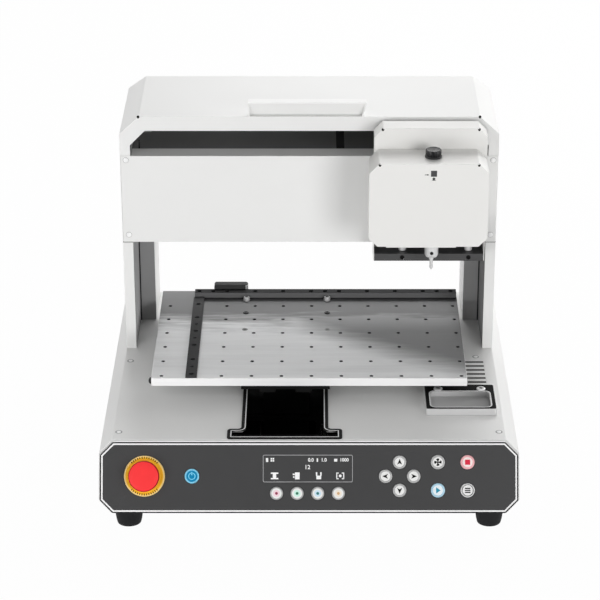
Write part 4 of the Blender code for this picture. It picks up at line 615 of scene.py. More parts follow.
def edge_wear_group():
    """A mask of the outer edges, broken up by noise, from the normal's change within a radius."""
    tree, given, out = node_group(
        "edge_wear",
        [("Radius", FLOAT, 0.0008), ("Amount", FLOAT, 0.5)],
        [("Mask", FLOAT)],
    )
    soft = add_node(tree, "ShaderNodeBevel", (("Radius", given.outputs["Radius"]),), samples=4)
    normal = add_node(tree, "ShaderNodeNewGeometry").outputs["Normal"]
    same = vectors(tree, "DOT_PRODUCT", (0, soft.outputs[0]), (1, normal)).outputs["Value"]
    turn = calculation(tree, "SUBTRACT", 1.0, same)
    worn = calculation(tree, "MULTIPLY", turn, 6.0, clamp=True)
    chips = calculation(tree, "MULTIPLY", worn, object_noise(tree, 160.0, 4.0))
    mask = calculation(tree, "MULTIPLY", chips, given.outputs["Amount"], clamp=True)
    tree.links.new(mask, out.inputs["Mask"])
    return tree


def painted_light_band_group():
    """Painted light and shade: a slow change of tone along one direction of the piece, from one place to
    another.
    """
    tree, given, out = node_group(
        "tone_band",
        [
            ("Colour", COLOUR, (0.5, 0.5, 0.5, 1)),
            ("Along", VECTOR, (1, 0, 0)),
            ("From", FLOAT, 0.0),
            ("To", FLOAT, 1.0),
            ("Share", FLOAT, 0.5),
            ("Ragged", FLOAT, 0.02),
        ],
        [("Colour", COLOUR)],
    )
    where = add_node(tree, "ShaderNodeTexCoord").outputs["Object"]
    reach = vectors(tree, "DOT_PRODUCT", (0, where), (1, given.outputs["Along"])).outputs["Value"]
    streaks = calculation(tree, "SUBTRACT", object_noise(tree, 1.0, 4.0, (14.0, 110.0, 110.0), 0.6), 0.5)
    reach = calculation(tree, "ADD", reach, calculation(tree, "MULTIPLY", streaks, given.outputs["Ragged"]))
    links = (
        ("Value", reach), ("From Min", given.outputs["From"]), ("From Max", given.outputs["To"]),
        ("To Min", 1.0), ("To Max", given.outputs["Share"]),
    )
    gain = add_node(tree, "ShaderNodeMapRange", links, interpolation_type="SMOOTHSTEP").outputs[0]
    colour = vectors(tree, "SCALE", (0, given.outputs["Colour"]), ("Scale", gain)).outputs[0]
    tree.links.new(colour, out.inputs["Colour"])
    return tree


MAKERS = {
    "powder_coat": powder_coat_group,
    "brushed": brushed_group,
    "edge_wear": edge_wear_group,
    "moulded": moulded_group,
    "tone_band": painted_light_band_group,
}
GROUPS = {}
MATERIALS = {}


def effect(tree, name, *links):
    """A node that uses a shared effect, with its links."""
    if name not in GROUPS:
        GROUPS[name] = MAKERS[name]()
    return add_node(tree, "ShaderNodeGroup", links, node_tree=GROUPS[name])


def darker(tree, first, second):
    """The darker of two colours."""
    links = ("Factor", 1.0), (6, first), (7, second)
    return add_node(tree, "ShaderNodeMix", links, data_type="RGBA", blend_type="DARKEN").outputs[2]


def make_material(
    name, surface, colour, roughness, metallic=0.0, bump=0.15, depth=0.00005,
    contrast=None, wear=None, coat=0.0, specular=0.5, bands=(),
):
    """A material: Principled shader, one surface effect, bands of painted light and shade, and worn edges
    where asked.
    """
    material = bpy.data.materials.new(name)
    material.use_nodes = True
    material.diffuse_color = (*colour, 1)
    tree = material.node_tree
    shader = tree.nodes["Principled BSDF"]
    shader.inputs["Metallic"].default_value = metallic
    shader.inputs["Coat Weight"].default_value = coat
    shader.inputs["Specular IOR Level"].default_value = specular
    look = effect(tree, surface, ("Colour", (*colour, 1)), ("Base Roughness", roughness))
    if contrast is not None:
        look.inputs["Contrast"].default_value = contrast
    base = plain = look.outputs["Colour"]
    for along, start, end, share, ragged in bands:
        band = effect(
            tree, "tone_band", ("Colour", plain), ("Along", along), ("From", start), ("To", end),
            ("Share", share), ("Ragged", ragged),
        ).outputs["Colour"]
        base = band if base == plain else darker(tree, base, band)
    if wear:
        amount, bare = wear
        mask = effect(tree, "edge_wear", ("Amount", amount)).outputs["Mask"]
        links = ("Factor", mask), (6, base), (7, (*bare, 1))
        base = add_node(tree, "ShaderNodeMix", links, data_type="RGBA").outputs[2]
    tree.links.new(base, shader.inputs["Base Color"])
    tree.links.new(look.outputs["Roughness"], shader.inputs["Roughness"])
    bumped = add_node(
        tree, "ShaderNodeBump", (("Strength", bump), ("Distance", depth), ("Height", look.outputs["Height"]))
    )
    tree.links.new(bumped.outputs["Normal"], shader.inputs["Normal"])
    return material


def detail():
    return bpy.context.scene.engraver_detail


def finish(name):
    """The material of a finish, made once; a colour given by name is one that the user sets."""
    if name not in MATERIALS:
        surface, colour, roughness, more = FINISHES[name]
        if isinstance(colour, str):
            colour = getattr(bpy.context.scene.engraver_finish, colour)
        MATERIALS[name] = make_material(name, surface, colour, roughness, **more)
    return MATERIALS[name]


def grey(tone):
    return (tone, tone, tone)


def powder(colour, roughness, **more):
    return "powder_coat", colour, roughness, more


def moulded(colour, roughness, **more):
    return "moulded", colour, roughness, more


def coloured(colour, roughness=0.35, coat=0.05, specular=0.25):
    return moulded(colour, roughness, bump=0.05, coat=coat, specular=specular)


def brushed(colour, roughness, metallic, bump, depth, contrast=None, **more):
    values = {"metallic": metallic, "bump": bump, "depth": depth, "contrast": contrast}
    return "brushed", colour, roughness, {**values, **more}


FINISHES = {
    # The white coats' worn edges are lighter than the coat: partly wear, partly a painted edge highlight.
    "powder_white": powder("powder", 0.40, wear=(0.25, (0.93, 0.93, 0.92))),
    "powder_head": powder("head_powder", 0.34, wear=(0.25, (0.93, 0.93, 0.91))),
    # A brighter white that stands for the light on tops and folds: painted highlight.
    "powder_grip": powder((0.94, 0.94, 0.93), 0.35),
    "screw_white": powder(grey(0.96), 0.3),
    "countersink_grey": powder(grey(0.36), 0.5),
    # The uprights' grey, painted lighter towards the right: painted light on the right upright.
    "paint_grey": powder(
        "grey", 0.45, wear=(0.3, grey(0.45)), specular=0.3, bands=[(ACROSS, -0.2, 0.2, 1.30, 0)]
    ),
    # The lid inside the hood, painted darker towards the right as painted shade, and the grey inside the
    # columns, which partly stands for their shade and is painted darker towards the right.
    "paint_dark": powder(
        (0.15, 0.15, 0.152), 0.45, wear=(0.4, grey(0.2)), bands=[(ACROSS, -0.2, 0.2, 0.55, 0)]
    ),
    "primer_grey": powder(
        (0.43, 0.43, 0.433), 0.8, wear=(0.2, grey(0.5)), specular=0.02, bands=[(ACROSS, -0.2, 0.2, 0.65, 0)]
    ),
    "paint_bracket": powder((0.044, 0.044, 0.045), 0.45, wear=(0.3, grey(0.10))),
    "paint_black": powder(grey(0.004), 0.6, wear=(0.2, grey(0.03)), specular=0.15),
    "motor_paint": powder((0.02, 0.02, 0.021), 0.4, metallic=0.2, wear=(0.5, grey(0.2))),
    "brushed_aluminium": brushed((0.66, 0.665, 0.67), 0.46, 0.45, 0.25, 0.00003, 0.45),
    # The table's top, with painted shade in slow bands towards the rear and the right, where the gantry and
    # head shade it, and its sawn edge, a bright diffuse white that is partly painted light.
    "table_aluminium": brushed(
        (0.95, 0.955, 0.96), 0.4, 0.5, 0.25, 0.00003, 0.5, specular=0.2,
        bands=[(TO_REAR, 0.035, 0.115, 0.15, 0.07), (TO_REAR_RIGHT, 0.02, 0.15, 0.27, 0.05)],
    ),
    "milled_edge": brushed(grey(0.97), 0.5, 0.0, 0.2, 0.00003, 0.2),
    # The tray's bare block, and the duller milled floor of its pocket, painted darker towards the right as
    # painted shade.
    "tray_metal": brushed(grey(0.62), 0.42, 0.3, 0.15, 0.00002, 0.3),
    "pocket_metal": brushed(
        grey(0.58), 0.5, 0.1, 0.2, 0.00003, 0.4, specular=0.2, bands=[(ACROSS, 0.165, 0.24, 0.5, 0)]
    ),
    # Anodising: the rear fence, the thin left fence, the rear fence's front face painted lighter as if lit,
    # and the drive blocks.
    "fence_black": brushed(
        (0.018, 0.018, 0.019), 0.45, 0.0, 0.1, 0.00002, 0.25, wear=(0.4, grey(0.2)), specular=0.05
    ),
    "fence_grey": brushed(
        (0.052, 0.052, 0.053), 0.45, 0.0, 0.1, 0.00002, 0.25, wear=(0.4, grey(0.2)), specular=0.08
    ),
    "anodised_edge": brushed((0.13, 0.13, 0.132), 0.45, 0.1, 0.1, 0.00002, 0.3),
    "black_anodised": brushed("anodised", 0.36, 0.3, 0.1, 0.00002, 0.25, wear=(0.7, (0.35, 0.35, 0.36))),
    "bare_aluminium": brushed(grey(0.78), 0.38, 0.85, 0.1, 0.00002),
    "satin_steel": brushed(grey(0.66), 0.45, 0.5, 0.1, 0.00001),
    "dull_steel": brushed(grey(0.42), 0.5, 0.3, 0.1, 0.00001),
    "ground_steel": brushed(grey(0.60), 0.24, 1.0, 0.1, 0.00001),
    "plated_screw": brushed(grey(0.80), 0.22, 0.9, 0.05, 0.00001),
    "black_oxide": moulded((0.02, 0.02, 0.021), 0.35, metallic=0.6, wear=(0.5, grey(0.2))),
    "panel_film": moulded("panel", 0.45, bump=0.05, specular=0.3),
    "rubber": moulded((0.009, 0.009, 0.010), 0.75, bump=0.4, specular=0.25),
    "knob_black": moulded((0.006, 0.006, 0.007), 0.3, bump=0.1, coat=0.3, specular=0.3),
    "plastic_black": moulded((0.017, 0.017, 0.018), 0.4, bump=0.2),
    "print_black": moulded(grey(0.006), 0.6, bump=0.02, specular=0.05),
    "print_white": moulded(grey(0.95), 0.5, bump=0.02),
    "print_bright": moulded(grey(0.97), 0.5, bump=0.02),
    "print_grey": moulded((0.45, 0.45, 0.46), 0.5, bump=0.02),
    "print_dark": moulded((0.035, 0.035, 0.036), 0.5, bump=0.02),
    # Rings, caps and signs of the buttons, and the emergency stop.
    "button_ring": coloured(grey(0.48), 0.3),
    "button_cap": coloured((0.90, 0.90, 0.89)),
    "ring_rose": coloured((0.90, 0.48, 0.50)),
    "cap_pink": coloured((0.97, 0.84, 0.82)),
    "sign_red": coloured((0.72, 0.02, 0.055)),
    "ring_sky": coloured((0.45, 0.68, 0.82)),
    "cap_ice": coloured((0.87, 0.94, 0.98)),
    "sign_blue": coloured((0.02, 0.30, 0.45)),
    "ring_white": coloured(grey(0.74)),
    "ring_blue": coloured((0.26, 0.68, 0.90)),
    "cap_blue": coloured("signal_blue", 0.4, 0.0, 0.1),
    "sign_cyan": coloured((0.22, 0.72, 0.96)),
    "dot_rose": coloured((0.30, 0.03, 0.08)),
    "tint_rose": coloured((0.96, 0.74, 0.79)),
    "dot_mint": coloured((0.01, 0.19, 0.10)),
    "tint_mint": coloured((0.66, 0.93, 0.83)),
    "dot_sky": coloured((0.01, 0.18, 0.19)),
    "tint_sky": coloured((0.66, 0.82, 0.94)),
    "dot_cream": coloured((0.66, 0.40, 0.18)),
    "tint_cream": coloured((0.94, 0.85, 0.73)),
    "stop_yellow_edge": coloured((0.97, 0.72, 0.28), 0.4, 0.0, 0.2),
    "stop_yellow": coloured("stop_yellow", 0.45, 0.0, 0.2),
    "stop_red": coloured("stop_red", 0.5, 0.0, 0.2),
    "stop_red_rim": coloured((0.52, 0.012, 0.014), 0.5, 0.0, 0.2),
}


# Operators, one for each group of pieces


class Dressing:
    bl_options = {"REGISTER", "UNDO"}


class ENGRAVER_OT_casing(Dressing, bpy.types.Operator):
    """Finish the base casing, its floor, vents and screws"""

    bl_idname = "engraver.casing"
    bl_label = "Casing"

    def execute(self, context):
        edge = detail().edge
        refined("base_casing", "powder_white", edge, whole=False)
        refined("base_floor", "powder_white", edge, other=("paint_black", lambda face: face.normal.z > 0.5))
        corners = (-0.2485, 0.0672), (0.2480, 0.0675), (-0.2478, 0.2801), (0.2314, 0.2933)
        places = [shift(x, from_front(y), BASE_TOP) for x, y in corners]
        heads = repeated(places, dome_head, 0.0030, 0.0010)
        as_piece("casing_screws", heads, "screw_white", "base", "steel")
        # Grey rings round the screw heads: painted shade in the countersinks.
        rings = repeated(places, flat_ring, 0.0046, 0.0029, 0.0002)
        as_piece("casing_countersinks", rings, "countersink_grey", "base", "white_paint")
        # Black blocks just under the vent slots stand for the shade inside the vents: painted shade.
        screens = []
        for place in range(VENTS):
            near = from_front(FIRST_VENT + place * VENT_STEP) - VENT_WIDE / 2
            low = (0.2157, near, BASE_TOP - 0.0012)
            screens.append(block(low, (0.2409, near + VENT_WIDE, BASE_TOP - 0.0003)))
        as_piece("vent_screens", joined(screens), "print_black", "base", "black_sheet")
        # A bright strip along the casing's fold above the panel: painted highlight.
        high = on_panel("front_panel")[1]
        lip = block((-0.2540, high.y + 0.0002, high.z - 0.0020), (0.2540, high.y + 0.0015, high.z))
        as_piece("casing_lip", lip, "powder_grip", "base", "white_paint", PANEL)
        return {"FINISHED"}


class ENGRAVER_OT_feet(Dressing, bpy.types.Operator):
    """Turn the four rubber feet with their moulded ribs"""

    bl_idname = "engraver.feet"
    bl_label = "Feet"

    def execute(self, context):
        for node in ("foot_front_left", "foot_front_right", "foot_rear_left", "foot_rear_right"):
            low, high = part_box(node)
            radius, height = FOOT_SHARE * (high.x - low.x) / 2, high.z - low.z
            sole = radius - 0.0025
            turned(node, [
                (0, 0.008), (0.005, 0.008), (0.005, 0.0006), (0.0056, 0),
                (sole - 0.0016, 0), (sole - 0.0004, 0.0005), (sole, 0.0018),
                (sole + 0.0009, height * 0.16), (radius - 0.0006, height * 0.36), (radius, height * 0.50),
                (radius, height - 0.0006), (radius - 0.0006, height), (0, height),
            ], at_foot(node), "rubber")
        return {"FINISHED"}


class ENGRAVER_OT_panel(Dressing, bpy.types.Operator):
    """Finish the control panel with its light line and display"""

    bl_idname = "engraver.panel"
    bl_label = "Control panel"

    def execute(self, context):
        refined("front_panel", "panel_film", 0.0003, whole=False)
        high = on_panel("front_panel")[1]
        inset = 0.0002
        # The black line along the panel's edge stands for the shade of the gap round it (painted shade); the
        # white line inside it is print.
        lines = ("panel_border", "print_black", 0.0014), ("panel_line", "print_white", 0.0020)
        for name, ink, width in lines:
            outline = eight_cornered(high.x - inset, high.y - inset, PANEL_CORNER - CORNER_SHRINK * inset)
            mesh = line_frame(outline, width, 0.00012)
            as_piece(name, mesh, ink, "base", "panel_print", PANEL)
            inset += width
        refined("display_window", "panel_film", 0.0002)
        make_display()
        return {"FINISHED"}


def eight_cornered(half_x, half_y, corner):
    return [
        (corner - half_x, -half_y), (half_x - corner, -half_y), (half_x, corner - half_y),
        (half_x, half_y - corner), (half_x - corner, half_y), (corner - half_x, half_y),
        (-half_x, half_y - corner), (-half_x, corner - half_y),
    ]


def digits(text, height):
    """Figures as a flat bmesh, centred on zero."""
    curve = bpy.data.curves.new("figures", "FONT")
    curve.body = text
    curve.size = height
    curve.offset = FIGURE_WEIGHT
    curve.align_x, curve.align_y = "CENTER", "CENTER"
    holder = bpy.data.objects.new("figures", curve)
    bpy.context.scene.collection.objects.link(holder)
    bpy.context.view_layer.update()
    seen = holder.evaluated_get(bpy.context.evaluated_depsgraph_get())
    mesh = bmesh.new()
    mesh.from_mesh(seen.to_mesh())
    seen.to_mesh_clear()
    bpy.data.objects.remove(holder)
    bpy.data.curves.remove(curve)
    bmesh.ops.remove_doubles(mesh, verts=mesh.verts[:], dist=1e-6)
    return raised(mesh, PRINT_HEIGHT)


# Bars of the display's signs, each (across, up, wide, tall) in tenths of a millimetre.
DISPLAY_BARS = (
    (-528, 110, 30, 50), (-472, 127, 20, 21), (-446, 127, 20, 21), (-472, 100, 20, 21), (-446, 100, 20, 21),
    (361, 108, 42, 36), (124, 110, 18, 46),
    (-431, -60, 98, 18), (-431, -130, 98, 18), (-431, -95, 44, 52),
    (-136, -95, 60, 90), (-182, -75, 26, 18), (-182, -110, 18, 18),
    (142, -115, 64, 48), (114, -70, 18, 46), (170, -70, 18, 46),
    (384, -58, 32, 14), (384, -132, 32, 14), (375, -95, 14, 84),
    (456, -58, 32, 14), (456, -132, 32, 14), (465, -95, 14, 84),
)
DISPLAY_FIGURES = (("0.0", 62, 40, 110), ("1.0", 62, 208, 110), ("1000", 58, 472, 110), ("12", 76, -5, 16))


def make_display():
    """The display's light frame, its small signs and figures."""
    low, high = on_panel("display_window")
    place = PANEL @ shift((low.x + high.x) / 2, (low.y + high.y) / 2, high.z)
    mesh = line_frame(rectangle(-0.0582, 0.0582, -0.0177, 0.0177), 0.0007, PRINT_HEIGHT, 0.002)
    as_piece("display_line", mesh, "print_grey", "base", "display", place)
    parts = []
    for text, size, u, v in DISPLAY_FIGURES:
        parts.append((digits(text, size * TENTH_OF_MM), shift(u * TENTH_OF_MM, v * TENTH_OF_MM)))
    for bar in DISPLAY_BARS:
        u, v, wide, tall = (value * TENTH_OF_MM for value in bar)
        parts.append((plate(wide, tall, PRINT_HEIGHT), shift(u, v)))
    parts.append((flat_disc(0.0019, PRINT_HEIGHT, 16), shift(0.0420, -0.0095)))
    mesh = joined(parts)
    as_piece("display_signs", mesh, "print_bright", "base", "display", place)


BUTTON_SIGNS = {
    "up": ((0, 0.0042), (0.0031, -0.0031), (0, -0.0012), (-0.0031, -0.0031)),
    "start": ((-0.0024, 0.0040), (0.0034, 0), (-0.0024, -0.0040)),
    "stop": ((-0.0033, -0.0033), (0.0033, -0.0033), (0.0033, 0.0033), (-0.0033, 0.0033)),
}

# Each button's ring, cap and sign finish, its kind of sign, and the cap's share of its radius.
BUTTONS = {
    "fan_button": ("button_ring", "button_cap", "print_black", "fan", 0.74),
    "stop_button": ("ring_rose", "cap_pink", "sign_red", "stop", 0.74),
    "start_button": ("ring_sky", "cap_ice", "sign_blue", "start", 0.74),
    "menu_button": ("ring_white", "button_cap", "print_black", "menu", 0.74),
    "power_button": ("ring_blue", "cap_blue", "sign_cyan", "power", 0.80),
}
BUTTONS.update({
    way + "_button": ("button_ring", "button_cap", "print_black", way, 0.74)
    for way in ("up", "left", "right", "down")
})


class ENGRAVER_OT_buttons(Dressing, bpy.types.Operator):
    """Make the round push buttons with their rings, caps and signs"""

    bl_idname = "engraver.buttons"
    bl_label = "Buttons"

    def execute(self, context):
        for node, look in BUTTONS.items():
            make_button(node, *look)
        for number, tone in enumerate(("rose", "mint", "sky", "cream"), 1):
            node = f"function_button_{number}"
            place, radius = make_button(node, "button_ring", "button_cap", "dot_" + tone, "dot", 0.82)
            mesh = flat_disc(radius * 0.52, PRINT_HEIGHT)
            as_piece(node + "_tint", mesh, "tint_" + tone, NODES[node]["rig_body"], SLOTS[node], place)
        return {"FINISHED"}


def make_button(node, ring, cap, sign, kind, share):
    """One button: an outer ring in the node's place, a crowned cap and a sign that ride with it."""
    low, high = on_panel(node)
    lip, shoulder = 0.0008, 0.0034
    radius = (high.x - low.x) / 2 - lip
    place = PANEL @ shift((low.x + high.x) / 2, (low.y + high.y) / 2)
    top, under = high.z, low.z
    inner = radius * share
    turned(node, [
        (0, under), (radius + lip, under), (radius + lip, under + shoulder), (radius, under + shoulder),
        (radius, top - 0.0006), (radius - 0.0002, top - 0.0002), (radius - 0.0007, top),
        (inner + 0.0003, top), (inner, top - CAP_DROP), (0, top - CAP_DROP),
    ], place, ring, 48)
    crown = [
        (0, top - CAP_DROP), (inner - 0.0002, top - CAP_DROP), (inner - 0.0003, top - 0.0002),
        (inner * 0.6, top), (0, top),
    ]
    mesh = spun(crown, 40)
    mesh.transform(place)
    body = NODES[node]["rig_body"]
    as_piece(node + "_cap", mesh, cap, body, SLOTS[node])
    mesh = sign_mesh(kind, radius)
    place = place @ shift(z=top)
    as_piece(node + "_sign", mesh, sign, body, SLOTS[node], place)
    return place, radius


def sign_mesh(kind, radius):
    """The raised sign of a button, from a few points each."""
    height = SIGN_HEIGHT
    quarters = {"up": 0, "left": 1, "down": 2, "right": -1}
    if kind in quarters:
        mesh = raised(polygon(BUTTON_SIGNS["up"]), height)
        mesh.transform(Matrix.Rotation(quarters[kind] * FULL_TURN / 4, 4, "Z"))
        return mesh
    if kind in BUTTON_SIGNS:
        return raised(polygon(BUTTON_SIGNS[kind], 0.0003), height)
    if kind == "dot":
        return flat_disc(radius * 0.22, height)
    if kind == "fan":
        blade = [(0.0004, 0.0003), (0.0019, 0.0044), (-0.0004, 0.0050), (-0.0023, 0.0036)]
        parts = [
            (raised(polygon(blade, 0.0003), height), Matrix.Rotation(quarter * FULL_TURN / 4, 4, "Z"))
            for quarter in range(4)
        ]
        return joined(parts + [flat_disc(0.0012, height * 1.2, 16)])
    if kind == "menu":
        bars = [(plate(0.0070, 0.0014, height, 0.0002), shift(0, y)) for y in (-0.0026, 0, 0.0026)]
        return joined(bars + [flat_ring(0.0076, 0.0070, height, 48)])
    arc = flat_ring(0.0047, 0.0036, height)
    spots = {face: face.calc_center_median() for face in arc.faces}
    gap = [face for face, spot in spots.items() if spot.y > 0 and abs(spot.x) < 0.0013]
    bmesh.ops.delete(arc, geom=gap, context="FACES")
    bmesh.ops.holes_fill(arc, edges=[e for e in arc.edges if e.is_boundary], sides=0)
    stroke = rectangle(-0.0006, 0.0006, 0.0012, 0.0056)
    return joined([arc, raised(polygon(stroke, 0.0002), height)])


class ENGRAVER_OT_stop(Dressing, bpy.types.Operator):
    """Turn the emergency stop's ring and mushroom head"""

    bl_idname = "engraver.stop"
    bl_label = "Emergency stop"

    def execute(self, context):
        low, high = on_panel("estop_collar")
        place = PANEL @ shift((low.x + high.x) / 2, (low.y + high.y) / 2)
        back = place.inverted()
        radius, top = (high.x - low.x) / 2, high.z
        bore, barrel = 0.0087, 0.0110
        ring = turned("estop_collar", [
            (bore, low.z), (barrel, low.z), (barrel, 0.0003), (radius, 0.0003), (radius, top - 0.0008),
            (radius - 0.0003, top - 0.0002), (radius - 0.0009, top), (radius - 0.0020, top),
            (radius - 0.0040, top), (radius - 0.0044, top - 0.0004), (bore, top - 0.0004), (bore, low.z),
        ], place, ["stop_yellow", "stop_yellow_edge"])
        # The ring's outer edge takes a lighter yellow: painted highlight.
        for face in ring.data.polygons:
            face.material_index = int((back @ face.center).xy.length > radius - 0.0016)
        ticks = []
        for side in (0, math.pi):
            for step in range(STOP_TICKS):
                turn = side + (step - (STOP_TICKS - 1) / 2) * STOP_TICK_TURN
                bar = polygon(rectangle(-0.00055, 0.00055, radius - 0.0038, radius - 0.0014))
                ticks.append((raised(bar, PRINT_HEIGHT), Matrix.Rotation(turn, 4, "Z")))
        mesh = joined(ticks)
        as_piece("stop_ticks", mesh, "print_black", "base", SLOTS["estop_collar"], place @ shift(z=top))
        low, high = on_panel("estop_head")
        radius = (high.x - low.x) / 2
        stem, under, crown = 0.0080, 0.0090, 0.0198
        head = turned("estop_head", [
            (0, low.z), (stem, low.z), (stem, under), (radius - 0.0012, under),
            (radius - 0.0003, under + 0.0004), (radius, under + 0.0012), (radius, crown - 0.0043),
            (radius - 0.0003, crown - 0.0026), (radius - 0.0012, crown - 0.0014),
            (radius - 0.0030, crown - 0.0008), (radius - 0.0070, crown - 0.0004),
            (radius - 0.0140, crown - 0.0001), (0, crown),
        ], place, ["stop_red", "stop_red_rim"])
        # A darker red ring at the head's edge: painted shade.
        for face in head.data.polygons:
            face.material_index = int((back @ face.center).xy.length > radius - 0.0010)
        return {"FINISHED"}


def tee(shrink):
    """The slot's outline, moved inwards from the trim's outer edge."""
    low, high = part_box("slot_trim")
    centre, bar, stem = (low.x + high.x) / 2, (high.x - low.x) / 2, 0.057
    notch = low.y + 0.028
    mesh = polygon([
        (centre - bar, low.y), (centre + bar, low.y), (centre + bar, notch), (centre + stem, notch),
        (centre + stem, high.y), (centre - stem, high.y), (centre - stem, notch), (centre - bar, notch),
    ], 0.0045, 5)
    ring = bmesh.ops.inset_region(
        mesh, faces=mesh.faces[:], thickness=shrink, use_even_offset=True, use_boundary=True
    )["faces"]
    bmesh.ops.delete(mesh, geom=ring, context="FACES")
    return mesh


class ENGRAVER_OT_slot(Dressing, bpy.types.Operator):
    """Finish the tee slot's black trim, the painted highlight line at its inner edge and the black lining
    below
    """

    bl_idname = "engraver.slot"
    bl_label = "Tee slot"

    def execute(self, context):
        refined("slot_trim", "paint_black", 0.0003, whole=False)
        # A white line at the trim's inner edge: painted highlight of its bevel.
        mesh = line_of(tee(0.0044), 0.0012, 0.0002)
        place = shift(z=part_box("slot_trim")[1].z - 0.0001)
        as_piece("slot_line", mesh, "print_white", "base", "black_sheet", place)
        side, skin, front, rear = 0.1402, 0.0006, from_front(0.0625), from_front(0.4714)
        foot, top = 0.0380, 0.1205
        walls = [
            block((left, near, foot), (right, far, top))
            for left, right, near, far in (
                (-side - skin, -side, front, rear), (side, side + skin, front, rear),
                (-side, side, front, front + skin), (-side, side, rear - skin, rear),
            )
        ]
        as_piece("slot_lining", joined(walls), "paint_black", "base", "black_sheet")
        return {"FINISHED"}


class ENGRAVER_OT_tray(Dressing, bpy.types.Operator):
    """Finish the tool tray: bare metal body, black label plate and two screws"""

    bl_idname = "engraver.tray"
    bl_label = "Tool tray"

    def execute(self, context):
        low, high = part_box("tool_tray")
        side, pocket, front, rear, rim, label_high = 0.0009, 0.0077, 0.0065, 0.0515, 0.0011, 0.0003

        def in_pocket(face):
            spot = face.calc_center_median()
            return low.x + 0.005 < spot.x < high.x - 0.005 and low.y + 0.004 < spot.y and (
                low.z + 0.0005 < spot.z < high.z - 0.0005
            )

        refined("tool_tray", "tray_metal", 0.0005, whole=False, other=("pocket_metal", in_pocket))
        label = bmesh.new()
        rounded_loop(label, (low.x + side, high.x - side, low.y + side, high.y - side), 0.0024)
        inner = (low.x + pocket - side, high.x - pocket + side, low.y + front - side, low.y + rear + side)
        rounded_loop(label, inner, 0.0068)
        bmesh.ops.triangle_fill(label, use_beauty=True, edges=label.edges[:])
        raised(label, label_high)
        as_piece("tray_label", label, "print_black", "base", "black_sheet", shift(z=high.z))
        # A white line round the pocket's rim: painted highlight of its bevel.
        outline = rectangle(inner[0] - rim, inner[1] + rim, inner[2] - rim, inner[3] + rim)
        line = line_frame(outline, rim, 0.0002, 0.0078)
        as_piece("tray_line", line, "print_white", "base", "black_sheet", shift(z=high.z + label_high))
        places = [shift(x, from_front(0.1722), high.z + label_high) for x in (0.1730, 0.2307)]
        heads = repeated(places, socket_head, 0.0060, 0.0018, 0.42)
        as_piece("tray_screws", heads, "satin_steel", "base", "steel")
        return {"FINISHED"}


def rounded_loop(mesh, sides, radius, steps=6):
    """A loop of edges round a rectangle (left, right, low, high) with rounded corners."""
    shape = polygon(rectangle(*sides), radius, steps)
    loop(mesh, [v.co.xy for v in shape.faces[:][0].verts])
    shape.free()


class ENGRAVER_OT_gantry(Dressing, bpy.types.Operator):
    """Finish the columns, uprights, beam cover, hood and grip with their screws"""

    bl_idname = "engraver.gantry"
    bl_label = "Gantry"

    def execute(self, context):
        edge = detail().edge
        for node in ("beam_cover", "hood"):
            refined(node, "powder_white", edge)
        seals = []
        for side, way in (("left", 1), ("right", -1)):

            def facing_in(face, way=way):
                return face.normal.x * way > 0.5

            # The side covers' inner faces take a grey that partly stands for their shade.
            refined("side_cover_" + side, "powder_white", edge, other=("primer_grey", facing_in))
            refined("upright_" + side, "paint_grey", edge, other=("powder_white", facing_in))
            low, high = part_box("upright_" + side)
            seam = low.x if way > 0 else high.x
            left, right = sorted((seam - way * 0.0008, seam + way * 0.0010))
            top = BASE_TOP + UPRIGHT_SEAL_HEIGHT
            seals.append(block((left, low.y - 0.0006, BASE_TOP), (right, low.y + 0.0006, top)))
        as_piece("upright_seals", joined(seals), "rubber", "base", "rubber")
        refined("x_beam", "brushed_aluminium", 0.0003, whole=False)
        make_grip()
        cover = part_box("beam_cover")[0]
        corners = (-0.2481, 0.4056), (-0.2472, 0.2963), (0.2490, 0.4056), (0.2482, 0.2963)
        places = [shift(x, cover.y, z) @ FACING_FRONT for x, z in corners]
        heads = repeated(places, dome_head, 0.0036, 0.0014)
        as_piece("cover_screws", heads, "screw_white", "base", "white_paint")
        # Grey rings round the cover screws: painted shade in the countersinks.
        rings = repeated(places, flat_ring, 0.0040, 0.0036, 0.0002)
        as_piece("cover_screw_rings", rings, "countersink_grey", "base", "white_paint")
        # Dark strips under the beam cover's lower edge: painted shadow of the cover.
        seams = []
        for node in ("side_cover_left", "side_cover_right"):
            low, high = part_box(node)
            foot = (low.x + 0.0002, cover.y + 0.0004, cover.z - 0.0008)
            seams.append(block(foot, (high.x - 0.0002, low.y, cover.z - 0.0001)))
        as_piece("cover_seams", joined(seams), "rubber", "base", "rubber")
        low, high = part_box("hood")
        make_reliefs("hood_reliefs", (-0.2297, 0.2292), low.y, high.z - 0.0006, "base")
        make_lid()
        return {"FINISHED"}


def make_lid():
    """The lid of the drive inside the hood, with a black band across it and two black blocks at its ends
    that stand for dark gaps: painted shade.
    """
    front, rear, under, top = from_front(0.3485), from_front(0.4950), 0.4085, 0.4097
    lid = block((-0.2440, front, under), (0.2405, rear, top))
    as_piece("drive_lid", lid, "paint_dark", "base", "dark_sheet")
    strap = block((0.0370, front, top), (0.0480, rear, top + 0.0004))
    as_piece("lid_strap", strap, "rubber", "base", "rubber")
    # Black blocks at the lid's ends stand for dark gaps: painted shade.
    clips = [
        block((-0.2325, front, top), (-0.2310, front + 0.002, 0.4230)),
        block((0.2430, front, 0.4000), (0.2455, front + 0.002, 0.4290)),
    ]
    as_piece("lid_clips", joined(clips), "paint_black", "base", "dark_sheet")


def make_reliefs(name, places, front, level, body):
    """Small black plugs at the relief holes where a cover's folded corners meet: painted shade in the holes.
    """
    tilt = Matrix.Rotation(math.radians(45), 4, "X")
    radius, under, top = 0.0018, -0.0010, 0.0011
    profile = [(0, under), (radius, under), (radius, top), (0, top)]
    spots = [shift(x, front + 0.0006, level) @ tilt for x in places]
    as_piece(name, repeated(spots, spun, profile, 20), "print_black", body, "white_paint")


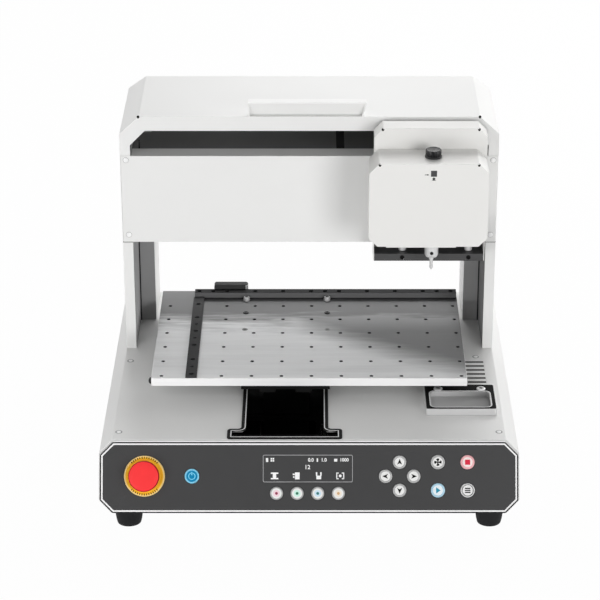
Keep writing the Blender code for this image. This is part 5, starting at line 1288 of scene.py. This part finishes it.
def make_grip():
    """The folded grip bar: a lid painted brighter white as a highlight, a front that leans back below it,
    and two sloping ends.
    """
    low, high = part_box("hood_grip")
    top, sheet, lean = 0.0018, 0.0020, 0.0080
    left_taper, right_taper = 0.0008, 0.0045
    centre = (low.x + high.x) / 2
    half = (high.x - low.x) / 2
    tall = high.z - low.z - top
    lid = block((low.x, low.y, high.z - top), (high.x, high.y, high.z))
    body = bmesh.new()
    bmesh.ops.create_cube(body, size=1)
    for vert in body.verts:
        above = vert.co.z > 0
        ahead = vert.co.y < 0
        reach = half - sheet / 2 - (0 if above else right_taper if vert.co.x > 0 else left_taper)
        vert.co.x = centre + math.copysign(reach, vert.co.x)
        vert.co.y = (low.y + (0.0012 if above else lean)) if ahead else high.y
        vert.co.z = high.z - top + 0.0001 if above else low.z
    parts = [lid, body]
    for side, taper in ((-1, left_taper), (1, right_taper)):
        end = raised(polygon([(low.y, 0), (high.y, 0), (high.y, tall), (low.y, tall)]), sheet)
        lean_in = -side * taper / tall
        foot = (low.x if side < 0 else high.x - sheet) + lean_in * tall
        end.transform(Matrix(((0, -lean_in, 1, foot), (1, 0, 0, 0), (0, 1, 0, low.z), (0, 0, 0, 1))))
        parts.append(end)
    mesh = joined(parts)
    # The lid's faces take the brighter white: painted highlight.
    for face in mesh.faces:
        face.material_index = int(face.calc_center_median().z > high.z - top)
    rounded_edges(in_place_of("hood_grip", mesh, ["powder_white", "powder_grip"]), 0.0003)
    places = [shift(x, (low.y + high.y) / 2, high.z - 0.0004) for x in (-0.0606, 0.0091)]
    as_piece("grip_screws", repeated(places, dome_head, 0.0014, 0.0004), "countersink_grey", "base", "steel")


class ENGRAVER_OT_drives(Dressing, bpy.types.Operator):
    """Thread the lead screws and finish rails, motors and carriages"""

    bl_idname = "engraver.drives"
    bl_label = "Drives"

    def execute(self, context):
        pitch = detail().thread_pitch
        turns = FACING_RIGHT, FACING_REAR, Matrix.Identity(4)
        for axis, (node, turn) in enumerate(zip(("x_screw", "y_screw", "z_screw"), turns)):
            low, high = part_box(node)
            size = high - low
            radius = min(size) / 2
            mesh = threaded(radius, radius * 0.14, pitch if radius > 0.005 else pitch / 2, size[axis])
            start = middle(node)
            start[axis] = low[axis]
            mesh.transform(Matrix.Translation(start) @ turn)
            in_place_of(node, mesh, "ground_steel", smooth=50)
        for nodes, name, width in (
            (("x_rail", "y_rail_left", "y_rail_right"), "ground_steel", 0.0004),
            (("x_motor", "y_motor", "z_motor"), "motor_paint", 0.0005),
            (("x_carriage", "z_block"), "black_anodised", detail().block_edge),
            (("y_carriage", "lift_column"), "paint_black", detail().block_edge),
        ):
            for node in nodes:
                refined(node, name, width)
        return {"FINISHED"}


class ENGRAVER_OT_head(Dressing, bpy.types.Operator):
    """Finish the head's covers, frame, rods and its small sign"""

    bl_idname = "engraver.head"
    bl_label = "Head"

    def execute(self, context):
        refined("head_rear_cover", "powder_head", 0.0005)
        refined("head_front_cover", "powder_head", 0.0008, 3)
        refined("head_frame", "paint_bracket", 0.0003, whole=False)
        for node in ("guide_rod_left", "guide_rod_right"):
            low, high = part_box(node)
            radius, height, chamfer = (high.x - low.x) / 2, high.z - low.z, 0.0006
            turned(node, [
                (0, 0), (radius - chamfer, 0), (radius, chamfer), (radius, height - chamfer),
                (radius - chamfer, height), (0, height),
            ], at_foot(node), "satin_steel")
        rear_low, rear_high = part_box("head_rear_cover")
        make_reliefs("rear_reliefs", (0.0982, 0.2264), rear_low.y, 0.4620, "head")
        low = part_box("head_front_cover")[0]
        make_reliefs("face_reliefs", (0.0931, 0.2235), low.y, 0.4330, "tool_block")
        make_pressure_sign(low.y)
        strip = block((0.1028, low.y + 0.0040, low.z - 0.0028), (0.1960, low.y + 0.0052, low.z + 0.0003))
        as_piece("face_strip", strip, "powder_head", "tool_block", "white_paint")
        frame_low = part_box("head_frame")[0]
        places = [shift(x, frame_low.y - 0.0001, 0.2774) @ FACING_FRONT for x in (0.1264, 0.2166)]
        bolts = repeated(places, dome_head, 0.0030, 0.0006)
        as_piece("bracket_screws", bolts, "print_black", "head", "steel")
        # A dark strip beside the rear cover's right side: painted shadow of the gap there.
        near = (rear_high.x + 0.0001, rear_low.y + 0.0015, frame_low.z + 0.0002)
        seal = block(near, (rear_high.x + 0.0008, rear_high.y - 0.0020, 0.3180))
        as_piece("head_side_seal", seal, "rubber", "head", "rubber")
        return {"FINISHED"}


def make_pressure_sign(front):
    """The small square, its stalk and arrow on the front cover."""
    height = 0.00015
    shaft = rectangle(-0.0032, 0.0002, -0.0004, 0.0004)
    parts = [
        plate(0.0080, 0.0084, height, 0.0004),
        (flat_disc(0.0019, height), shift(0, -0.0073)),
        (plate(0.0052, 0.0006, height), shift(0, -0.0095)),
        (raised(polygon(shaft), height), shift(-0.0090, -0.0016)),
        (raised(polygon([(0, -0.0012), (0.0024, 0), (0, 0.0012)]), height), shift(-0.0088, -0.0016)),
    ]
    place = shift(0.1643, front, 0.4214) @ FACING_FRONT
    as_piece("pressure_sign", joined(parts), "print_dark", "tool_block", "white_paint", place)


class ENGRAVER_OT_tool(Dressing, bpy.types.Operator):
    """Turn the pressure knob, the quill, the tool holder and the stylus"""

    bl_idname = "engraver.tool"
    bl_label = "Tool"

    def execute(self, context):
        refined("quill", "ground_steel", 0.0003, whole=False)
        refined("tool_spindle", "satin_steel", 0.0003, whole=False)
        refined("stylus", "satin_steel", 0.0002, whole=False)
        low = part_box("tool_spindle")[0]
        place = shift(middle("tool_spindle").x, low.y + 0.0002, low.z + 0.0088) @ FACING_FRONT
        as_piece("nose_set_screw", socket_head(0.0024, 0.0006), "black_oxide", "spindle", "steel", place)
        make_knob(72)
        return {"FINISHED"}


def make_knob(sides):
    """The pressure knob: a flange, a fluted grip and a dished top."""
    low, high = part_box("pressure_knob")
    centre = middle("pressure_knob")
    base, top = high.z - 0.0108, high.z
    grip, flange, shaft = 0.0105, 0.0115, 0.0030
    profile = [
        (0, low.z), (shaft, low.z), (shaft, base), (flange - 0.0004, base), (flange, base + 0.0004),
        (flange, base + 0.0017), (flange - 0.0005, base + 0.0022), (grip - 0.0001, base + 0.0026),
        (grip, base + 0.0031), (grip, top - 0.0014), (grip - 0.0004, top - 0.0005), (grip - 0.0013, top),
        (grip - 0.0022, top), (grip - 0.0028, top - 0.0005), (0, top - 0.0005),
    ]
    mesh = spun(profile, sides)
    for vert in mesh.verts:
        on_grip = base + 0.0025 < vert.co.z < top - 0.0004 and vert.co.xy.length > grip - 0.0006
        if on_grip and round(math.atan2(vert.co.y, vert.co.x) / (FULL_TURN / sides)) % 3 == 0:
            vert.co.xy *= 1 - 0.0010 / vert.co.xy.length
    mesh.transform(shift(centre.x, centre.y))
    in_place_of("pressure_knob", mesh, "knob_black")


class ENGRAVER_OT_table(Dressing, bpy.types.Operator):
    """Make the table plate, its fences and datum block with their holes and screws"""

    bl_idname = "engraver.table"
    bl_label = "Table"

    def execute(self, context):
        low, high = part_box("table_plate")
        columns, rows, left, right, front, rear = 11, 6, 0.0134, 0.0073, 0.0075, 0.0522
        pitch_x = (high.x - low.x - left - right) / (columns - 1)
        pitch_y = (high.y - low.y - front - rear) / (rows - 1)
        first_x, first_y = low.x + left, low.y + front
        holes = [
            (0.0025, first_x + column * pitch_x, first_y + row * pitch_y)
            for column in range(columns) for row in range(rows)
        ]
        mesh = pierced_bar("table_plate", holes)
        # Tops take the aluminium, the sawn rim the bright edge, and the hole walls a black that is painted
        # shade inside the holes.
        for face in mesh.faces:
            spot = face.calc_center_median()
            rim = min(spot.x - low.x, high.x - spot.x, spot.y - low.y, high.y - spot.y)
            face.material_index = 0 if abs(face.normal.z) > 0.5 else 1 if rim < 0.0001 else 2
        looks = ["table_aluminium", "milled_edge", "black_oxide"]
        rounded_edges(in_place_of("table_plate", mesh, looks), 0.0004)
        make_side_fence(first_y, pitch_y / 2)
        make_rear_fence()
        make_datum_block()
        blacks, greys = [], []
        for x in (-0.0897, 0.0252):
            blacks.append((socket_head(0.0042, 0.0012), shift(x, from_front(0.3660), high.z)))
            greys.append((socket_head(0.0040, 0.0006), shift(x, from_front(0.3107), high.z)))
            greys.append((socket_head(0.0048, 0.0055), shift(x, from_front(0.4096), high.z)))
        blacks.append((dome_head(0.0045, 0.0040), shift(low.x, low.y + 0.0055, 0.1505) @ FACING_LEFT))
        as_piece("table_screws_black", joined(blacks), "black_oxide", "table", "steel")
        as_piece("table_screws_grey", joined(greys), "dull_steel", "table", "steel")
        return {"FINISHED"}


def make_side_fence(first, step):
    """The thin fence on the left: counterbored screws in every second hole."""
    low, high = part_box("left_fence")
    centre = (low.x + high.x) / 2
    holes, places = [], []
    for place in range(12):
        spot = first + place * step
        if place in (3, 9) or spot > high.y - 0.006:
            continue
        wide = place % 2 == 0 or place == 11
        holes.append((0.0034 if wide else 0.0025, centre, spot))
        if wide:
            places.append(shift(centre, spot, low.z))
    rounded_edges(in_place_of("left_fence", pierced_bar("left_fence", holes), "fence_grey"), 0.0003)
    screws = repeated(places, socket_head, 0.0030, 0.0012)
    as_piece("side_fence_screws", screws, "black_oxide", "table", "steel")


def make_rear_fence():
    """The rear fence bar: deep screw holes along its top and a front face painted lighter grey as if lit."""
    low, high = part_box("rear_fence")
    steps, plain = 18, (3, 5, 7, 11, 13, 15)
    first = middle("left_fence").x
    step = (high.x - 0.0077 - first) / steps
    depth = (low.y + high.y) / 2
    holes = [(0.0033, first + place * step, depth) for place in range(steps + 1) if place not in plain]
    mesh = pierced_bar("rear_fence", holes)
    for face in mesh.faces:
        face.material_index = int(face.normal.y < -0.5 and face.calc_center_median().y < low.y + 0.0001)
    rounded_edges(in_place_of("rear_fence", mesh, ["fence_black", "anodised_edge"]), 0.0004)
    places = [shift(x, y, low.z) for _, x, y in holes]
    screws = repeated(places, socket_head, 0.0029, 0.0040)
    as_piece("rear_fence_screws", screws, "black_oxide", "table", "steel")
    # A dark strip along the fence's foot: painted shadow where it meets the table.
    foot = block((low.x, low.y - 0.0004, low.z - 0.0002), (high.x, low.y, low.z + 0.0012))
    as_piece("rear_fence_seal", foot, "rubber", "table", "rubber")


def make_datum_block():
    """The dark stop behind the rear fence, with a bright strip on the right of its front."""
    low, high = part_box("datum_block")
    refined("datum_block", "fence_grey", 0.0006)
    foot = (high.x - 0.0036, low.y - 0.0002, low.z + 0.0003)
    strip = block(foot, (high.x - 0.0004, low.y + 0.0006, high.z - 0.0010))
    as_piece("datum_strip", strip, "bare_aluminium", "table", "steel")


class ENGRAVER_OT_inlet(Dressing, bpy.types.Operator):
    """Finish the power inlet with its three pins"""

    bl_idname = "engraver.inlet"
    bl_label = "Power inlet"

    def execute(self, context):
        refined("power_inlet", "plastic_black", 0.0005)
        low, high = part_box("power_inlet")
        centre = middle("power_inlet")
        pins = []
        for x, z in ((-0.0070, -0.0020), (0.0070, -0.0020), (0, 0.0030)):
            foot = (centre.x + x - 0.001, high.y - 0.0165, centre.z + z - 0.002)
            pins.append(block(foot, (centre.x + x + 0.001, high.y - 0.004, centre.z + z + 0.002)))
        as_piece("inlet_pins", joined(pins), "plated_screw", "base", "steel")
        sides = low.x + 0.0030, high.x - 0.0030
        places = [shift(x, high.y - 0.0008, centre.z) @ FACING_REAR for x in sides]
        screws = repeated(places, dome_head, 0.0022, 0.0008)
        as_piece("inlet_screws", screws, "plated_screw", "base", "steel")
        return {"FINISHED"}


class ENGRAVER_OT_stage(Dressing, bpy.types.Operator):
    """Lay the floor, light the object and place the camera"""

    bl_idname = "engraver.stage"
    bl_label = "Stage"

    def execute(self, context):
        stage = context.scene.engraver_stage
        make_floor()
        make_world(stage.dome)
        for name, (place, size) in LAMPS.items():
            lamp(name, place, size, getattr(stage, name))
        camera = bpy.data.cameras.new("camera")
        camera.lens = stage.lens
        camera.sensor_width = SENSOR_WIDTH
        camera.shift_x = CAMERA_SHIFT
        view = bpy.data.objects.new("camera", camera)
        view.location = CAMERA_PLACE
        view.rotation_euler = (CAMERA_TILT, 0, 0)
        context.scene.collection.objects.link(view)
        context.scene.camera = view
        context.scene.view_settings.view_transform = "Standard"
        return {"FINISHED"}


def lamp(name, place, size, power):
    light = bpy.data.lights.new(name, "AREA")
    light.size = size
    light.energy = power
    holder = bpy.data.objects.new(name, light)
    holder.location = place
    holder.rotation_euler = (LAMPS_AIM - Vector(place)).to_track_quat("-Z", "Y").to_euler()
    bpy.context.scene.collection.objects.link(holder)


def make_floor():
    """A wide floor that is white to the camera and in reflections, with a faint shadow of the object."""
    mesh = bmesh.new()
    bmesh.ops.create_grid(mesh, x_segments=1, y_segments=1, size=FLOOR_HALF)
    data = bpy.data.meshes.new("floor")
    mesh.to_mesh(data)
    mesh.free()
    floor = bpy.data.objects.new("floor", data)
    bpy.context.scene.collection.objects.link(floor)
    material = bpy.data.materials.new("floor_white")
    material.use_nodes = True
    tree = material.node_tree
    shader = tree.nodes["Principled BSDF"]
    shader.inputs["Base Color"].default_value = (0.8, 0.8, 0.8, 1)
    shader.inputs["Roughness"].default_value = 0.9
    shader.inputs["Specular IOR Level"].default_value = 0.0
    glow = add_node(tree, "ShaderNodeEmission", (("Strength", FLOOR_GLOW),))
    share = calculation(tree, "MULTIPLY", white_rays(tree), FLOOR_WHITE_SHARE)
    mix = add_node(tree, "ShaderNodeMixShader", ((0, share), (1, shader.outputs[0]), (2, glow.outputs[0])))
    tree.links.new(mix.outputs[0], tree.nodes["Material Output"].inputs["Surface"])
    data.materials.append(material)


def white_rays(tree):
    """One for the rays that see the white background: from the camera, a reflection or through glass."""
    rays = add_node(tree, "ShaderNodeLightPath").outputs
    bounced = calculation(tree, "MAXIMUM", rays["Is Glossy Ray"], rays["Is Transmission Ray"])
    return calculation(tree, "MAXIMUM", rays["Is Camera Ray"], bounced)


def make_world(strength):
    """White to the camera and in reflections, and a softer dome as light."""
    world = bpy.data.worlds.new("studio")
    bpy.context.scene.world = world
    world.use_nodes = True
    tree = world.node_tree
    sky = tree.nodes["Background"]
    sky.inputs["Color"].default_value = (1, 1, 1, 1)
    power = add_node(
        tree, "ShaderNodeMapRange", (("Value", white_rays(tree)), ("To Min", strength), ("To Max", 1.0))
    ).outputs[0]
    tree.links.new(power, sky.inputs["Strength"])


# Panel and registration


STEPS = (
    ENGRAVER_OT_casing,
    ENGRAVER_OT_feet,
    ENGRAVER_OT_panel,
    ENGRAVER_OT_buttons,
    ENGRAVER_OT_stop,
    ENGRAVER_OT_slot,
    ENGRAVER_OT_tray,
    ENGRAVER_OT_gantry,
    ENGRAVER_OT_drives,
    ENGRAVER_OT_head,
    ENGRAVER_OT_tool,
    ENGRAVER_OT_table,
    ENGRAVER_OT_inlet,
    ENGRAVER_OT_stage,
)


class ENGRAVER_PT_steps(bpy.types.Panel):
    bl_idname = "ENGRAVER_PT_steps"
    bl_label = "Engraver"
    bl_space_type = "VIEW_3D"
    bl_region_type = "UI"
    bl_category = "Engraver"

    def draw(self, context):
        scene = context.scene
        for group in (scene.engraver_finish, scene.engraver_detail, scene.engraver_stage):
            box = self.layout.box()
            for name in group.__annotations__:
                box.prop(group, name)
        for step in STEPS:
            self.layout.operator(step.bl_idname)


GROUPS_OF_VALUES = {
    "engraver_finish": EngraverFinish,
    "engraver_detail": EngraverDetail,
    "engraver_stage": EngraverStage,
}


def register():
    for kind in (*GROUPS_OF_VALUES.values(), *STEPS, ENGRAVER_PT_steps):
        bpy.utils.register_class(kind)
    for name, kind in GROUPS_OF_VALUES.items():
        setattr(bpy.types.Scene, name, PointerProperty(type=kind))


def unregister():
    for name in GROUPS_OF_VALUES:
        delattr(bpy.types.Scene, name)
    for kind in (ENGRAVER_PT_steps, *reversed(STEPS), *GROUPS_OF_VALUES.values()):
        bpy.utils.unregister_class(kind)


def main():
    register()
    for step in STEPS:
        space, name = step.bl_idname.split(".")
        getattr(getattr(bpy.ops, space), name)()


if __name__ == "__main__":
    main()
